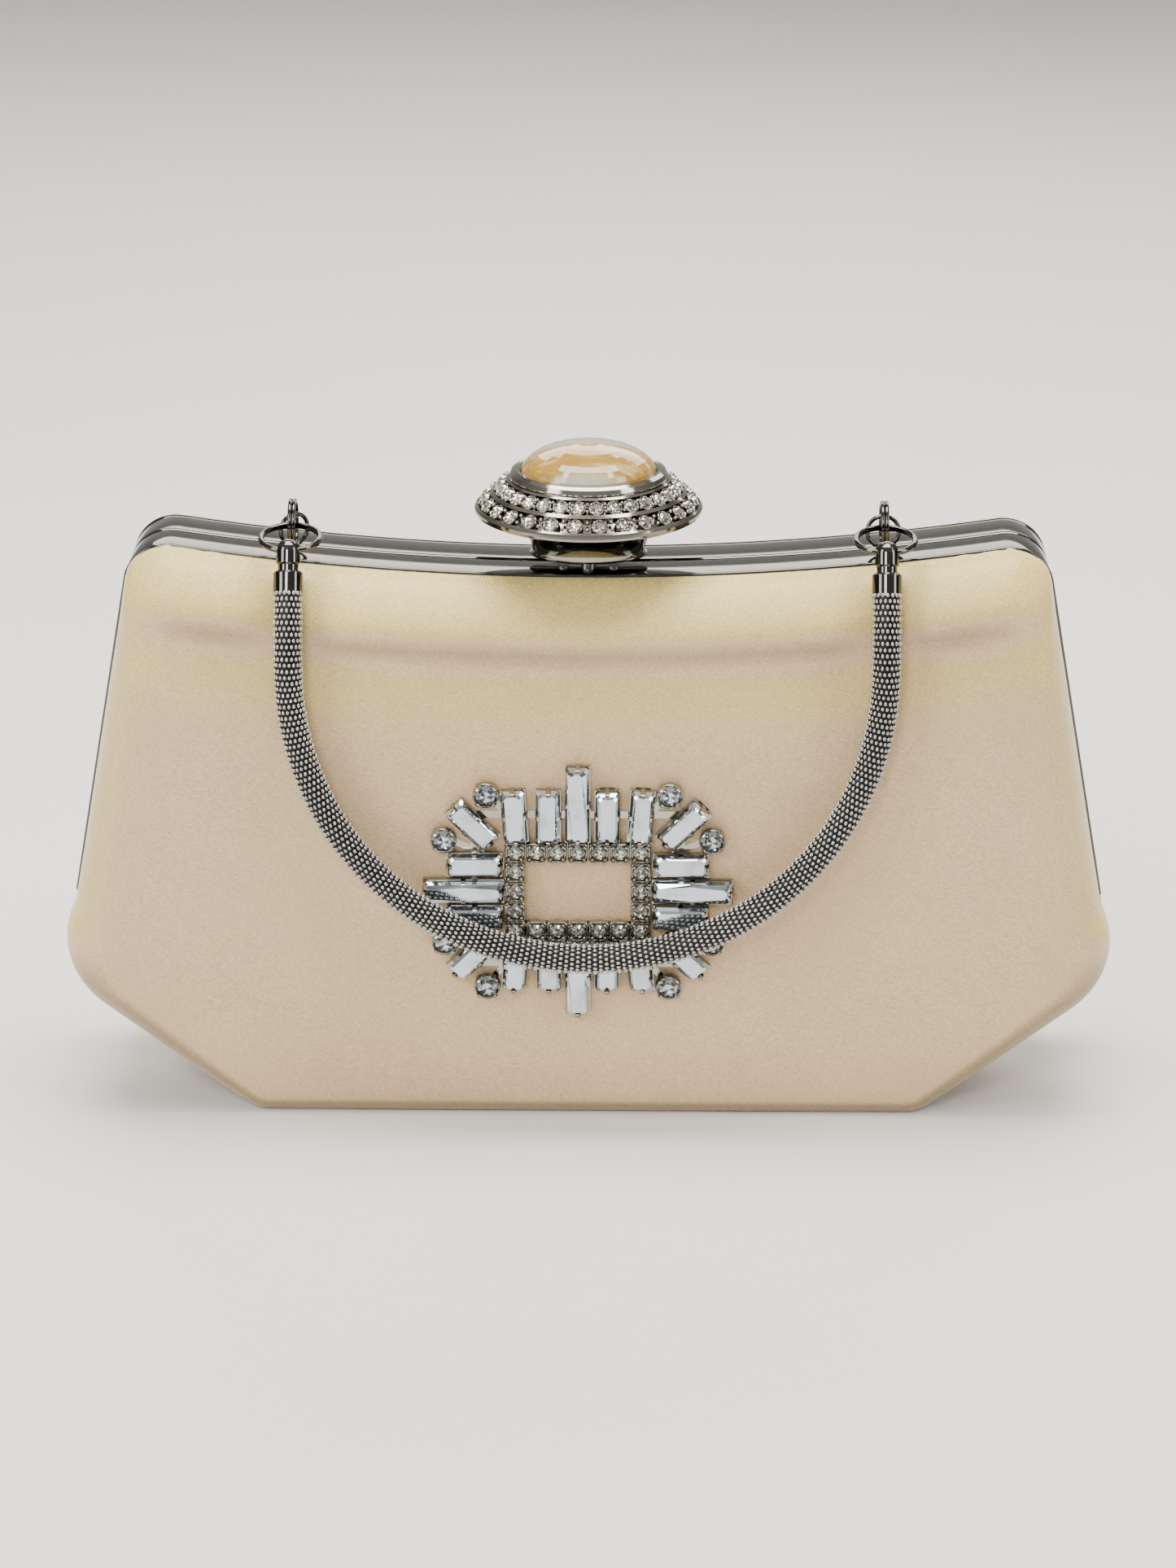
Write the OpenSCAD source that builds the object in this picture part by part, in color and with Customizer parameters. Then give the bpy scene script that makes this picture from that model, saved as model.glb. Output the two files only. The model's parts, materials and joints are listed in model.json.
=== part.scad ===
// Satin evening bag: two stiff satin covered halves in a polished metal frame,
// hinged at the ends of the frame's legs, with a push knob clasp, a stone
// brooch and a snake tube handle on rings.
// Millimetres, +Z up. The origin is on the table under the middle of the seam.
// -Y is the front, the side with the brooch.

/* [Body] */
// Width over the two widest corners, before they are rounded
body_w = 223; // [190:1:270]
// Width of the flat bottom
bottom_w = 140; // [115:1:170]
// Width over the two top corners
top_w = 188.6; // [160:0.1:227]
// Height of the widest corners
wide_z = 29; // [24:0.5:35]
// Height of the top corners
corner_z = 123.4; // [103:0.1:148]
// How far the top edge dips between its corners
top_dip = 7.7; // [4:0.1:10]
// Depth of one half, from the seam to the satin face
half_d = 23.2; // [20:0.1:28]
// Rounding of the bottom corners
bottom_r = 5.5; // [4:0.5:7]
// Rounding of the widest corners
wide_r = 16; // [12:0.5:20]
// Rounding of the top corners
corner_r = 9; // [7:0.5:11]
// Height of the soft roll below the top edge
roll_h = 25; // [20:0.5:30]

/* [Layers] */
// Thickness of the padded satin cover
cover_t = 0.7; // [0.5:0.05:0.9]
// Thickness of the stiff shell
shell_t = 1.5; // [1.2:0.05:1.8]
// Thickness of the lining
lining_t = 0.5; // [0.4:0.05:0.6]
// Gap that the glue fills between two layers
glue_gap = 0.12; // [0.1:0.01:0.15]

/* [Frame] */
// Depth of one half frame
frame_d = 11; // [9.5:0.1:12]
// Thickness of the frame's sheet metal
frame_t = 1; // [0.8:0.05:1.2]
// Depth of the stiffening flange along the seam
flange_h = 3.4; // [2.8:0.1:4]
// Half of the gap between the two half frames
seam_gap = 0.15; // [0.1:0.01:0.25]
// Height of the hinge at the ends of the legs
hinge_z = 44; // [40:0.5:50]
// Radius of the hinge rivets
rivet_r = 1.2; // [1:0.05:1.45]
// Running clearance of the hinge rivets
rivet_fit = 0.07; // [0.04:0.01:0.1]
// How far the bag opens
open_angle = 30; // [20:1:32]

/* [Clasp] */
// Radius of the knob over its rim
knob_r = 23.7; // [20:0.1:28]
// Travel of the knob when it is pressed
press = 1.2; // [0.8:0.1:1.4]
// Radius of the knob's rod
rod_r = 1.5; // [1.3:0.05:1.8]
// Radial clearance of the rod in the frame and the cage
rod_fit = 0.1; // [0.06:0.01:0.1]
// Stones in the knob's lower ring
lower_stones = 27; // [20:1:28]
// Stones in the knob's upper ring
upper_stones = 31; // [20:1:31]

/* [Handle] */
// Half of the distance between the two strap loops
loop_x = 61; // [52:0.5:72]
// Diameter of the snake tube
tube_d = 6; // [5:0.1:6.2]
// Radius of the jump rings to the middle of the wire
jump_r = 6; // [5.5:0.1:6.5]
// Diameter of the jump rings' wire
jump_wire = 1.3; // [1.1:0.05:1.4]
// Yaw of the left strap loop
loop_yaw = 38; // [0:1:40]

/* [Brooch] */
// How far the brooch sits to the left of the middle
brooch_left = 1.9; // [0:0.1:4]
// Height of the brooch's centre
brooch_z = 51.5; // [45:0.5:58]
// Length of the long baguette stones
long_l = 16.8; // [14:0.1:17.5]
// Length of the short baguette stones
short_l = 11.5; // [10:0.1:12]
// Width of the baguette stones
baguette_w = 5.2; // [4.6:0.1:5.4]
// Diameter of the round stones
round_d = 5; // [4.2:0.1:5.4]
// Spacing of the small stones around the window
chaton_pitch = 4.35; // [3.9:0.05:4.4]

/* [Hidden] */
$fn = 40;

satin = "#d9c6a8";
metal = "#c9ccd0";
glass = "#e8eef2";
inside = "#b9a98c";

// ---- Outline of the bag, seen from the front as [x, z] ----
bottom_v = [bottom_w / 2, 0];
wide_v = [body_w / 2, wide_z];
corner_v = [top_w / 2, corner_z];
top_z = corner_z - top_dip;
// The tangent of the dipped top edge at its corner meets the middle here
tangent_v = [0, corner_z - 2 * top_dip];
// The flat face starts this far inside the outline
face_side = 7.6;
face_bottom = 3.5;
face_chamfer = 9.6;
side_slope = (body_w - top_w) / 2 / (corner_z - wide_z);
face_corner_z = corner_z - roll_h - 1;
face_bottom_v = [bottom_w / 2 - 1, face_bottom];
face_wide_v = [body_w / 2 - face_chamfer, wide_z + 2];
face_corner_v = [body_w / 2 - (face_corner_z - wide_z) * side_slope - face_side, face_corner_z];
face_top_z = top_z - roll_h;

function unit(v) = v / norm(v);
function mix(a, b, t) = a + (b - a) * t;
function last(list) = list[len(list) - 1];
// A vertex b between a and c, moved inwards by d
function inset_vertex(a, b, c, d) =
    let (p = unit(a - b), q = unit(c - b), half = acos(p * q) / 2)
    b + unit(p + q) * d / sin(half);
// n + 1 points of the round corner at b
function round_corner(a, b, c, r, n) =
    let (p = unit(a - b), q = unit(c - b), half = acos(p * q) / 2,
        centre = b + unit(p + q) * r / sin(half), from = b + p * r / tan(half) - centre,
        turn = 180 - 2 * half)
    [for (k = [0:n]) let (t = k * turn / n)
        centre + [from.x * cos(t) - from.y * sin(t), from.x * sin(t) + from.y * cos(t)]];
function between(a, b, shares) = [for (s = shares) mix(a, b, s)];

side_shares = [0.03, 0.07, 0.11, 0.2, 0.36, 0.54, 0.72, 0.88];
corner_steps = 6;
top_steps = 9;
// The right half of an outline, from the middle of the bottom to the middle of the top
function half_outline(v1, v2, v3, zc, r1, r2, r3) =
    let (below = round_corner([0, v1.y], v1, v2, r1, 4), wide = round_corner(v1, v2, v3, r2, 6),
        lift = v3.y - zc,
        top = round_corner(v2, v3, [0, v3.y - 2 * lift], r3, corner_steps),
        end = last(top))
    concat(between([0, v1.y], below[0], [0, 0.35, 0.7]), below,
        between(last(below), wide[0], [0.33, 0.66]), wide,
        between(last(wide), top[0], side_shares), top,
        [for (k = [1:top_steps]) let (x = end.x * (1 - k / top_steps))
            [x, zc + (end.y - zc) * pow(x / end.x, 2)]]);
function body_outline(d) =
    half_outline(inset_vertex([0, 0], bottom_v, wide_v, d), inset_vertex(bottom_v, wide_v, corner_v, d),
        inset_vertex(wide_v, corner_v, tangent_v, d), top_z - d,
        bottom_r - d / 2, wide_r - d, corner_r - d);
function face_outline(d) =
    half_outline(inset_vertex([0, face_bottom], face_bottom_v, face_wide_v, d),
        inset_vertex(face_bottom_v, face_wide_v, face_corner_v, d),
        inset_vertex(face_wide_v, face_corner_v, [0, 2 * face_top_z - face_corner_z], d),
        face_top_z - d, bottom_r, wide_r - 2 - d, corner_r + 7 - d);
half_n = len(body_outline(0));
// The whole ring: the right half, then its mirror image back down to the bottom
function whole(half) = concat(half, [for (k = [half_n - 2:-1:1]) [-half[k].x, half[k].y]]);
ring_n = 2 * half_n - 2;

// ---- Depth of the layers ----
// The rims leave room below the hinge, so the halves can turn towards each other
relief = open_angle / 2 + 1;
rim_seam = 1.6;
near_hinge = 8;
function relief_y(z) = rim_seam + (hinge_z - z) * tan(relief);
// Distance of a rim from the seam at height z: tucked into the frame above the hinge
function rim_depth(z, tuck) =
    z >= hinge_z ? tuck : z <= hinge_z - near_hinge ? relief_y(z) :
    mix(tuck, relief_y(hinge_z - near_hinge), (hinge_z - z) / near_hinge);
// 1 where the satin is flush with the outline, 0 where the frame covers it
function flush(z) = max(0, min(1, (hinge_z + 0.4 - z) / 4));
under_frame = frame_t + glue_gap;
roll_d = half_d - frame_d - 0.2;
function round_depth(rim, face) = min(roll_d, max(4, 1.15 * norm(face - rim)));

// Rings of points of one face of a layer, deep inside the satin's outer face, from its rim to the face
function skin_rings(deep, tuck, angles) =
    let (free = whole(body_outline(deep)), held = whole(body_outline(deep + under_frame)),
        face = whole(face_outline(0.35 * deep)), outer = whole(body_outline(0)),
        outer_face = whole(face_outline(0)))
    [for (a = concat([-1], angles)) [for (i = [0:ring_n - 1])
        let (z = outer[i].y, p = mix(held[i], free[i], flush(z)),
            depth = round_depth(outer[i], outer_face[i]) - deep,
            q = a < 0 ? p : mix(p, face[i], 1 - cos(a)),
            y = a < 0 ? min(rim_depth(z, tuck), half_d - deep - depth - 0.2)
                : half_d - deep - depth * (1 - sin(a)))
        [q.x, -y, q.y]]];
// Triangles that close a ring: its upper and lower chains are joined from left to right
widest = 11;
lower_chain = [for (k = [widest:-1:-widest]) (ring_n + k) % ring_n];
upper_chain = [for (k = [widest:ring_n - widest]) k];
function zip(p, i, j) =
    i == len(upper_chain) - 1 && j == len(lower_chain) - 1 ? [] :
    let (up = i < len(upper_chain) - 1 && (j == len(lower_chain) - 1
        || p[upper_chain[i + 1]].x >= p[lower_chain[j + 1]].x))
    concat([up ? [upper_chain[i], upper_chain[i + 1], lower_chain[j]]
               : [upper_chain[i], lower_chain[j + 1], lower_chain[j]]],
        up ? zip(p, i + 1, j) : zip(p, i, j + 1));
// A closed layer between two surfaces that start at the same rim
module layer(deep, t, tuck, angles) {
    outer = skin_rings(deep, tuck, angles);
    inner = skin_rings(deep + t, tuck, angles);
    rings = len(outer);
    start = rings * ring_n;
    cap = [for (f = zip(last(outer), 0, 0)) if (f[0] != f[1] && f[1] != f[2] && f[0] != f[2]) f];
    walls = [for (k = [0:rings - 2]) for (i = [0:ring_n - 1]) let (j = (i + 1) % ring_n)
        [k * ring_n + i, (k + 1) * ring_n + i, (k + 1) * ring_n + j, k * ring_n + j]];
    polyhedron(concat([for (r = outer) each r], [for (r = inner) each r]),
        concat(walls, [for (f = walls) [f[3] + start, f[2] + start, f[1] + start, f[0] + start]],
            [for (f = cap) [for (k = [2:-1:0]) f[k] + start - ring_n]],
            [for (f = cap) [for (v = f) v + 2 * start - ring_n]],
            [for (i = [0:ring_n - 1]) let (j = (i + 1) % ring_n) [i, j, j + start, i + start]]));
}
shell_deep = cover_t + glue_gap;
lining_deep = shell_deep + shell_t + glue_gap;
inner_deep = lining_deep + lining_t;
// The layers share their steps round the edge, so they stay parallel
edge_angles = [0, 18, 36, 54, 72, 90];
cover_tuck = frame_d - 1.4;
shell_tuck = frame_d - 2.6;
module cover_half() layer(0, cover_t, cover_tuck, edge_angles);
module shell_half() layer(shell_deep, shell_t, shell_tuck, edge_angles);
module lining_half() layer(lining_deep, lining_t, frame_d - 2.2, edge_angles);
// The back half is the front half seen in the seam
module to_back() mirror([0, 1, 0]) children();

// ---- Half frames ----
// The frame covers the outline from one leg's end over the top to the other
leg_end = 18;
outline0 = whole(body_outline(0));
frame_path = [for (i = [leg_end:ring_n - leg_end]) outline0[i]];
path_n = len(frame_path);
function path_normal(k) =
    let (d = unit(frame_path[min(k + 1, path_n - 1)] - frame_path[max(k - 1, 0)])) [d.y, -d.x];
flange_clear = 12;
// The section across the frame as [outwards, depth]; the flange stops above the hinge
function frame_section(z) =
    let (inner = z < hinge_z + flange_clear ? -frame_t - 0.1 : -flange_h, back = seam_gap + 1.2)
    [[0, frame_d - 0.4], [-0.35, frame_d], [-frame_t, frame_d], [-frame_t, back],
        [inner, back], [inner, seam_gap], [-0.9 * frame_t, seam_gap], [0, seam_gap + 0.9]];
module half_frame_strip() {
    m = 8;
    points = [for (k = [0:path_n - 1]) let (n = path_normal(k)) for (s = frame_section(frame_path[k].y))
        [frame_path[k].x + n.x * s[0], -s[1], frame_path[k].y + n.y * s[0]]];
    web = [0, 1, 2, 3, 6, 7];
    flange = [3, 4, 5, 6];
    polyhedron(points, concat(
        [for (k = [0:path_n - 2]) for (s = [0:m - 1]) let (t = (s + 1) % m)
            [k * m + s, k * m + t, (k + 1) * m + t, (k + 1) * m + s]],
        [for (f = [web, flange]) [for (k = [len(f) - 1:-1:0]) f[k]]],
        [for (f = [web, flange]) [for (v = f) v + (path_n - 1) * m]]));
}
// The ears stand inside the web and lap over each other on the hinge line
ear_r = 3.4;
ear_t = 1;
ear_gap = 0.1;
leg_x = body_w / 2 - (hinge_z - wide_z) * side_slope;
web_x = leg_x - frame_t / cos(atan(side_slope));
outer_ear_x = web_x - 2.4;
inner_ear_x = outer_ear_x - ear_t - ear_gap;
rivet_head_r = 2.4;
// Height at which an ear runs into the slanted web
function ear_top(x) = hinge_z + (web_x - x - 0.45) / side_slope;
module ear(x, hole) {
    top = ear_top(x);
    translate([x, 0, 0]) rotate([90, 0, 90]) linear_extrude(ear_t) difference() {
        union() {
            translate([0, hinge_z]) circle(ear_r);
            polygon([[-ear_r * 0.94, hinge_z - ear_r * 0.34], [ear_r * 0.5, hinge_z + ear_r * 0.86],
                [-2.6, top], [-7.4, top]]);
        }
        translate([0, hinge_z]) circle(hole);
    }
}
rod_y = -5;
module front_frame() color(metal) difference() {
    union() {
        half_frame_strip();
        for (s = [0, 1]) mirror([s, 0, 0]) ear(outer_ear_x, rivet_r);
    }
    translate([0, rod_y, top_z - 3]) cylinder(h = 6, r = rod_r + rod_fit);
    for (s = [-1, 1]) {
        translate([s * cage_rivet_x, rod_y, top_z - 3]) cylinder(h = 6, r = trim_rivet_r);
        translate([s * loop_x, loop_y, loop_foot_z - 4]) cylinder(h = 6, r = loop_shank_r);
    }
}
module back_frame() color(metal) to_back() difference() {
    union() {
        half_frame_strip();
        for (s = [0, 1]) mirror([s, 0, 0]) ear(inner_ear_x, rivet_r + rivet_fit);
    }
    for (s = [-1, 1]) translate([s * catch_rivet_x, -catch_rivet_y, top_z - 3])
        cylinder(h = 6, r = trim_rivet_r);
}
module hinge_rivet() color(metal) {
    head_t = 0.7;
    grip = 2 * ear_t + ear_gap;
    translate([outer_ear_x + ear_t, 0, hinge_z]) rotate([0, 90, 0]) {
        cylinder(h = head_t, r = rivet_head_r);
        translate([0, 0, -grip - ear_gap]) cylinder(h = grip + ear_gap + 0.1, r = rivet_r);
        translate([0, 0, -grip - ear_gap - head_t]) cylinder(h = head_t, r = rivet_head_r);
    }
}
module hinge_rivet_right() hinge_rivet();
module hinge_rivet_left() mirror([1, 0, 0]) hinge_rivet();

module front_shell() color("#8c8070") pierced() shell_half();
module back_shell() color("#8c8070") to_back() shell_half();
module front_cover() color(satin) pierced() cover_half();
module back_cover() color(satin) to_back() cover_half();
module front_lining() color(inside) pierced() lining_half();
module back_lining() color(inside) to_back() lining_half();

// ---- Gussets between the halves ----
// A band of satin that closes the relief below the hinge, from leg to leg
gusset_t = 0.8;
gusset_lift = 0.3;
gusset_edge = 0.35;
gusset_fold = 0.15;
module bottom_gusset() color(satin) {
    outside = whole(body_outline(gusset_lift));
    within = whole(body_outline(gusset_lift + gusset_t));
    // It ends below the hinge rivets
    last_i = max([for (k = [0:leg_end - 1]) if (outline0[k].y < hinge_z - rivet_head_r - 0.2) k]);
    run = [for (k = [-last_i:last_i]) (ring_n + k) % ring_n];
    points = [for (i = run) let (w = rim_depth(outline0[i].y, shell_tuck) - gusset_edge,
            fold = unit(within[i] - outside[i]) * gusset_fold * w, a = outside[i] + fold, b = within[i] + fold)
        each [[outside[i].x, -w, outside[i].y], [a.x, 0, a.y], [outside[i].x, w, outside[i].y],
            [within[i].x, w, within[i].y], [b.x, 0, b.y], [within[i].x, -w, within[i].y]]];
    band(points);
}
// A closed band of folded strips: each section is two quads that share the fold
module band(points) {
    m = 6;
    ends = [[0, 1, 4, 5], [1, 2, 3, 4]];
    n = len(points) / m;
    polyhedron(points, concat(
        [for (k = [0:n - 2]) for (s = [0:m - 1]) let (t = (s + 1) % m)
            [k * m + s, (k + 1) * m + s, (k + 1) * m + t, k * m + t]],
        ends, [for (f = ends) [for (k = [len(f) - 1:-1:0]) f[k] + (n - 1) * m]]));
}
// A pleated cloth wall inside each side, which unfolds when the bag opens
pleat_in = 11;
pleat_half = 7.6;
pleat_t = 0.5;
module side_gusset() color(inside) {
    low = hinge_z + 4;
    high = corner_z - corner_r - 8;
    rows = 6;
    points = [for (k = [0:rows])
        let (z = mix(high, low, k / rows),
            x = body_w / 2 - (z - wide_z) * side_slope - inner_deep - under_frame - 5)
        each [[x, -pleat_half, z], [x - pleat_in, 0, z], [x, pleat_half, z],
            [x - pleat_t, pleat_half, z], [x - pleat_in - 2 * pleat_t, 0, z], [x - pleat_t, -pleat_half, z]]];
    band(points);
}
module side_gusset_right() side_gusset();
module side_gusset_left() mirror([1, 0, 0]) side_gusset();

// ---- Push knob ----
knob_y = -1;
stem_gap = press + 0.45;
stem_z = top_z + stem_gap;
stem_a = 12.3;
stem_b = 8;
stem_h = 8.8;
rim_z = top_z + stem_gap + stem_h + 1.3;
bezel_r = 16.4;
bezel_z = rim_z + 7;
stone_r = bezel_r - 2.3;
module knob_stem() color(metal) {
    sides = 40;
    // Each ring is [height, half width, half depth]: a rolled foot, a waist and the flare
    rings = [[0, stem_a - 0.5, stem_b - 0.5], [0.5, stem_a, stem_b], [1.2, stem_a - 0.3, stem_b - 0.2],
        [2.8, stem_a - 0.6, stem_b + 0.2], [4.8, stem_a + 0.1, stem_b + 1.4],
        [6.4, stem_a + 1.3, stem_b + 3.6], [7.7, stem_a + 3.1, stem_b + 6.5], [stem_h, stem_a + 5.4, stem_b + 9.4]];
    n = len(rings);
    translate([0, knob_y, stem_z]) polyhedron(
        [for (r = rings) for (k = [0:sides - 1]) let (a = 360 * k / sides) [r[1] * cos(a), r[2] * sin(a), r[0]]],
        concat([for (j = [0:n - 2]) for (k = [0:sides - 1]) let (m = (k + 1) % sides)
            [j * sides + k, (j + 1) * sides + k, (j + 1) * sides + m, j * sides + m]],
            [[for (k = [0:sides - 1]) k], [for (k = [sides - 1:-1:0]) k + (n - 1) * sides]]));
}
// The sloping top of the head, from the rim up to the bezel
slope_from = [knob_r - 0.35, rim_z + 0.9];
slope_to = [bezel_r + 0.3, bezel_z - 0.2];
slope_len = norm(slope_to - slope_from);
slope_dir = unit(slope_to - slope_from);
slope_out = [slope_dir.y, -slope_dir.x];
lower_at = 0.25;
upper_at = 0.74;
groove_half = 1.75;
groove_deep = 1.1;
function on_slope(share, out) = slope_from + slope_dir * slope_len * share + slope_out * out;
function groove(share) = [on_slope(share, 0) - slope_dir * groove_half,
    on_slope(share, -groove_deep) - slope_dir * groove_half * 0.8,
    on_slope(share, -groove_deep) + slope_dir * groove_half * 0.8,
    on_slope(share, 0) + slope_dir * groove_half];
head_under = stem_z + stem_h;
module knob_head() color(metal) translate([0, knob_y, 0]) rotate_extrude($fn = 96)
    polygon(concat([[0, head_under], [stem_a + 5.5, head_under], [knob_r - 1, rim_z - 0.9],
        [knob_r - 0.2, rim_z - 0.5], [knob_r, rim_z], [knob_r - 0.05, rim_z + 0.5], slope_from],
        groove(lower_at), groove(upper_at), [slope_to, [0, bezel_z - 0.2]]));
module knob_bezel() color(metal) translate([0, knob_y, bezel_z - 0.2]) rotate_extrude($fn = 96)
    polygon([[stone_r, 0], [bezel_r, 0], [bezel_r + 0.1, 0.5], [bezel_r - 0.4, 1.3], [bezel_r - 1.2, 1.8],
        [stone_r + 0.3, 1.7], [stone_r, 1.2]]);
dome_h = 6.2;
module cabochon() color("#e6d3a3") translate([0, knob_y, bezel_z - 0.15]) rotate_extrude($fn = 96)
    polygon(concat([[0, 0], [stone_r - 0.05, 0], [stone_r - 0.05, 0.9]],
        [for (k = [1:9]) let (a = 10 * k) [(stone_r - 0.05) * cos(a), 0.9 + dome_h * sin(a)]]));
// One round stone with its table up
module round_stone(r, h) {
    cylinder(h = 0.55 * h, r1 = 0.72 * r, r2 = r);
    translate([0, 0, 0.55 * h]) cylinder(h = 0.12 * h, r = r);
    translate([0, 0, 0.67 * h]) cylinder(h = 0.33 * h, r1 = r, r2 = 0.6 * r);
}
module stone_ring(count, share, r) {
    seat = on_slope(share, -groove_deep + 0.02);
    tilt = atan2(slope_out.x, slope_out.y);
    for (k = [0:count - 1]) translate([0, knob_y, 0]) rotate([0, 0, 360 * (k + 0.5) / count - 90])
        translate([seat.x, 0, seat.y]) rotate([0, tilt, 0]) round_stone(r, groove_deep + 0.5);
}
module knob_stones_lower() color(glass) stone_ring(lower_stones, lower_at, 1.35);
module knob_stones_upper() color(glass) stone_ring(upper_stones, upper_at, 1.35);

// ---- Latch under the knob ----
trim_rivet_r = 0.6;
cage_r = 3.2;
cage_t = 0.5;
cage_rivet_x = 5.2;
web_bottom = top_z - frame_t - glue_gap;
cage_floor = web_bottom - 14;
collar_r = cage_r - cage_t - 0.2;
collar_t = 1;
collar_z = web_bottom - press - 1.4 - collar_t;
hook_z = cage_floor - press - 2.6;
hook_t = 1.2;
hook_w = 8;
nose_y = 4.5;
nose_h = 2;
catch_gap = 0.35;
module knob_rod() color(metal) translate([0, rod_y, 0]) {
    translate([0, 0, hook_z + hook_t]) cylinder(h = stem_z - hook_z - hook_t, r = rod_r);
    translate([0, 0, collar_z]) cylinder(h = collar_t, r = collar_r);
    translate([0, 0, hook_z - 1.4]) cylinder(h = 1.5 + hook_t, r = rod_r - 0.5);
}
module latch_cage() color(metal) translate([0, rod_y, 0]) difference() {
    union() {
        translate([0, 0, cage_floor - cage_t]) cylinder(h = web_bottom - cage_floor + cage_t, r = cage_r);
        translate([-cage_rivet_x - 1.6, -2.9, web_bottom - 0.8]) cube([2 * cage_rivet_x + 3.2, 5.8, 0.8]);
    }
    translate([0, 0, cage_floor]) cylinder(h = 20, r = cage_r - cage_t);
    translate([0, 0, cage_floor - 2]) cylinder(h = 4, r = rod_r + rod_fit);
    for (s = [-1, 1]) translate([s * cage_rivet_x, 0, web_bottom - 2]) cylinder(h = 4, r = trim_rivet_r);
}
module trim_rivet(under) {
    translate([0, 0, top_z + 0.04]) cylinder(h = 0.35, r = 1.1);
    translate([0, 0, under]) cylinder(h = top_z + 0.1 - under, r = trim_rivet_r);
    translate([0, 0, under - 0.45]) cylinder(h = 0.45, r = 1.1);
}
module cage_rivets() color(metal) for (s = [-1, 1])
    translate([s * cage_rivet_x, rod_y, 0]) trim_rivet(web_bottom - 0.8);
module latch_hook() color(metal) difference() {
    union() {
        translate([-hook_w / 2, rod_y - 2.2, hook_z]) cube([hook_w, nose_y + 1 - rod_y + 2.2, hook_t]);
        translate([-hook_w / 2, nose_y, hook_z]) cube([hook_w, 1, hook_t + nose_h]);
    }
    translate([0, rod_y, hook_z - 1]) cylinder(h = 4, r = rod_r - 0.5);
}
module hook_nut() color(metal) translate([0, rod_y, hook_z - 1.2]) difference() {
    cylinder(h = 1.2, r = 2.1);
    translate([0, 0, -1]) cylinder(h = 4, r = rod_r - 0.5);
}
// A tube swept along points, with a ring of the given number of sides at each point
function tangent(p, k) = unit(p[min(k + 1, len(p) - 1)] - p[max(k - 1, 0)]);
module swept(path, r, sides, side_of) {
    n = len(path);
    points = [for (k = [0:n - 1]) let (t = tangent(path, k), u = unit(cross(t, side_of)), v = cross(t, u))
        for (s = [0:sides - 1]) path[k] + r * (u * cos(360 * s / sides) + v * sin(360 * s / sides))];
    polyhedron(points, concat(
        [for (k = [0:n - 2]) for (s = [0:sides - 1]) let (t = (s + 1) % sides)
            [k * sides + s, (k + 1) * sides + s, (k + 1) * sides + t, k * sides + t]],
        [[for (s = [0:sides - 1]) s], [for (s = [sides - 1:-1:0]) s + (n - 1) * sides]]));
}
module latch_spring() color(metal) {
    turns = 5;
    steps = 14;
    wire = 0.22;
    low = cage_floor + wire + 0.05;
    high = collar_z - wire - 0.05;
    swept([for (k = [0:turns * steps]) let (a = 360 * k / steps)
        [(rod_r + 0.65) * cos(a), rod_y + (rod_r + 0.65) * sin(a), mix(low, high, k / turns / steps)]],
        wire, 6, [0, 0, 1]);
}
catch_rivet_x = 2.6;
catch_rivet_y = 5.6;
module catch_plate() color(metal) difference() {
    union() {
        low = hook_z + hook_t + nose_h + catch_gap;
        translate([-hook_w / 2, nose_y - 1.5, low]) cube([hook_w, 0.8, web_bottom - low]);
        translate([-hook_w / 2, nose_y - 1.5, web_bottom - 0.8]) cube([hook_w, 4.4, 0.8]);
    }
    for (s = [-1, 1]) translate([s * catch_rivet_x, catch_rivet_y, web_bottom - 2])
        cylinder(h = 4, r = trim_rivet_r);
}
module catch_rivets() color(metal) for (s = [-1, 1])
    translate([s * catch_rivet_x, catch_rivet_y, 0]) trim_rivet(web_bottom - 0.8);

// ---- Strap loops and rings ----
loop_y = -3.4;
loop_foot_z = top_z + top_dip * pow(loop_x / (top_w / 2), 2);
loop_r = 3.3;
loop_wire = 0.45;
loop_shank_r = 0.8;
loop_centre_z = loop_foot_z + 4.3;
// The band's top is what the split ring turns about
band_z = loop_centre_z + loop_r;
module strap_loop(side, yaw) color(metal) translate([side * loop_x, loop_y, 0]) {
    translate([0, 0, loop_centre_z]) rotate([0, 0, yaw]) rotate([90, 0, 0])
        rotate_extrude($fn = 48) translate([loop_r, 0]) circle(loop_wire, $fn = 24);
    translate([0, 0, loop_foot_z + 0.3]) cylinder(h = loop_centre_z - loop_r - loop_foot_z - 0.3, r1 = 1.6, r2 = 0.7);
    translate([0, 0, loop_foot_z - frame_t - 0.6]) cylinder(h = frame_t + 1, r = loop_shank_r);
    translate([0, 0, loop_foot_z - frame_t - 1.1]) cylinder(h = 0.6, r = 1.4);
}
module strap_loop_left() strap_loop(-1, loop_yaw);
module strap_loop_right() strap_loop(1, 0);
split_r = 4.5;
split_wire = 0.43;
split_drop = 25;
split_reach = 2.6;
split_y = loop_y - split_reach * cos(split_drop);
split_z = band_z - split_reach * sin(split_drop);
// Two turns of wire side by side
module split_ring(side) color(metal) translate([side * loop_x, split_y, split_z]) rotate([0, 90, 0])
    rotate_extrude($fn = 48) for (s = [-1, 1]) translate([split_r, s * 0.41]) circle(split_wire, $fn = 24);
module split_ring_left() split_ring(-1);
module split_ring_right() split_ring(1);
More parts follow.
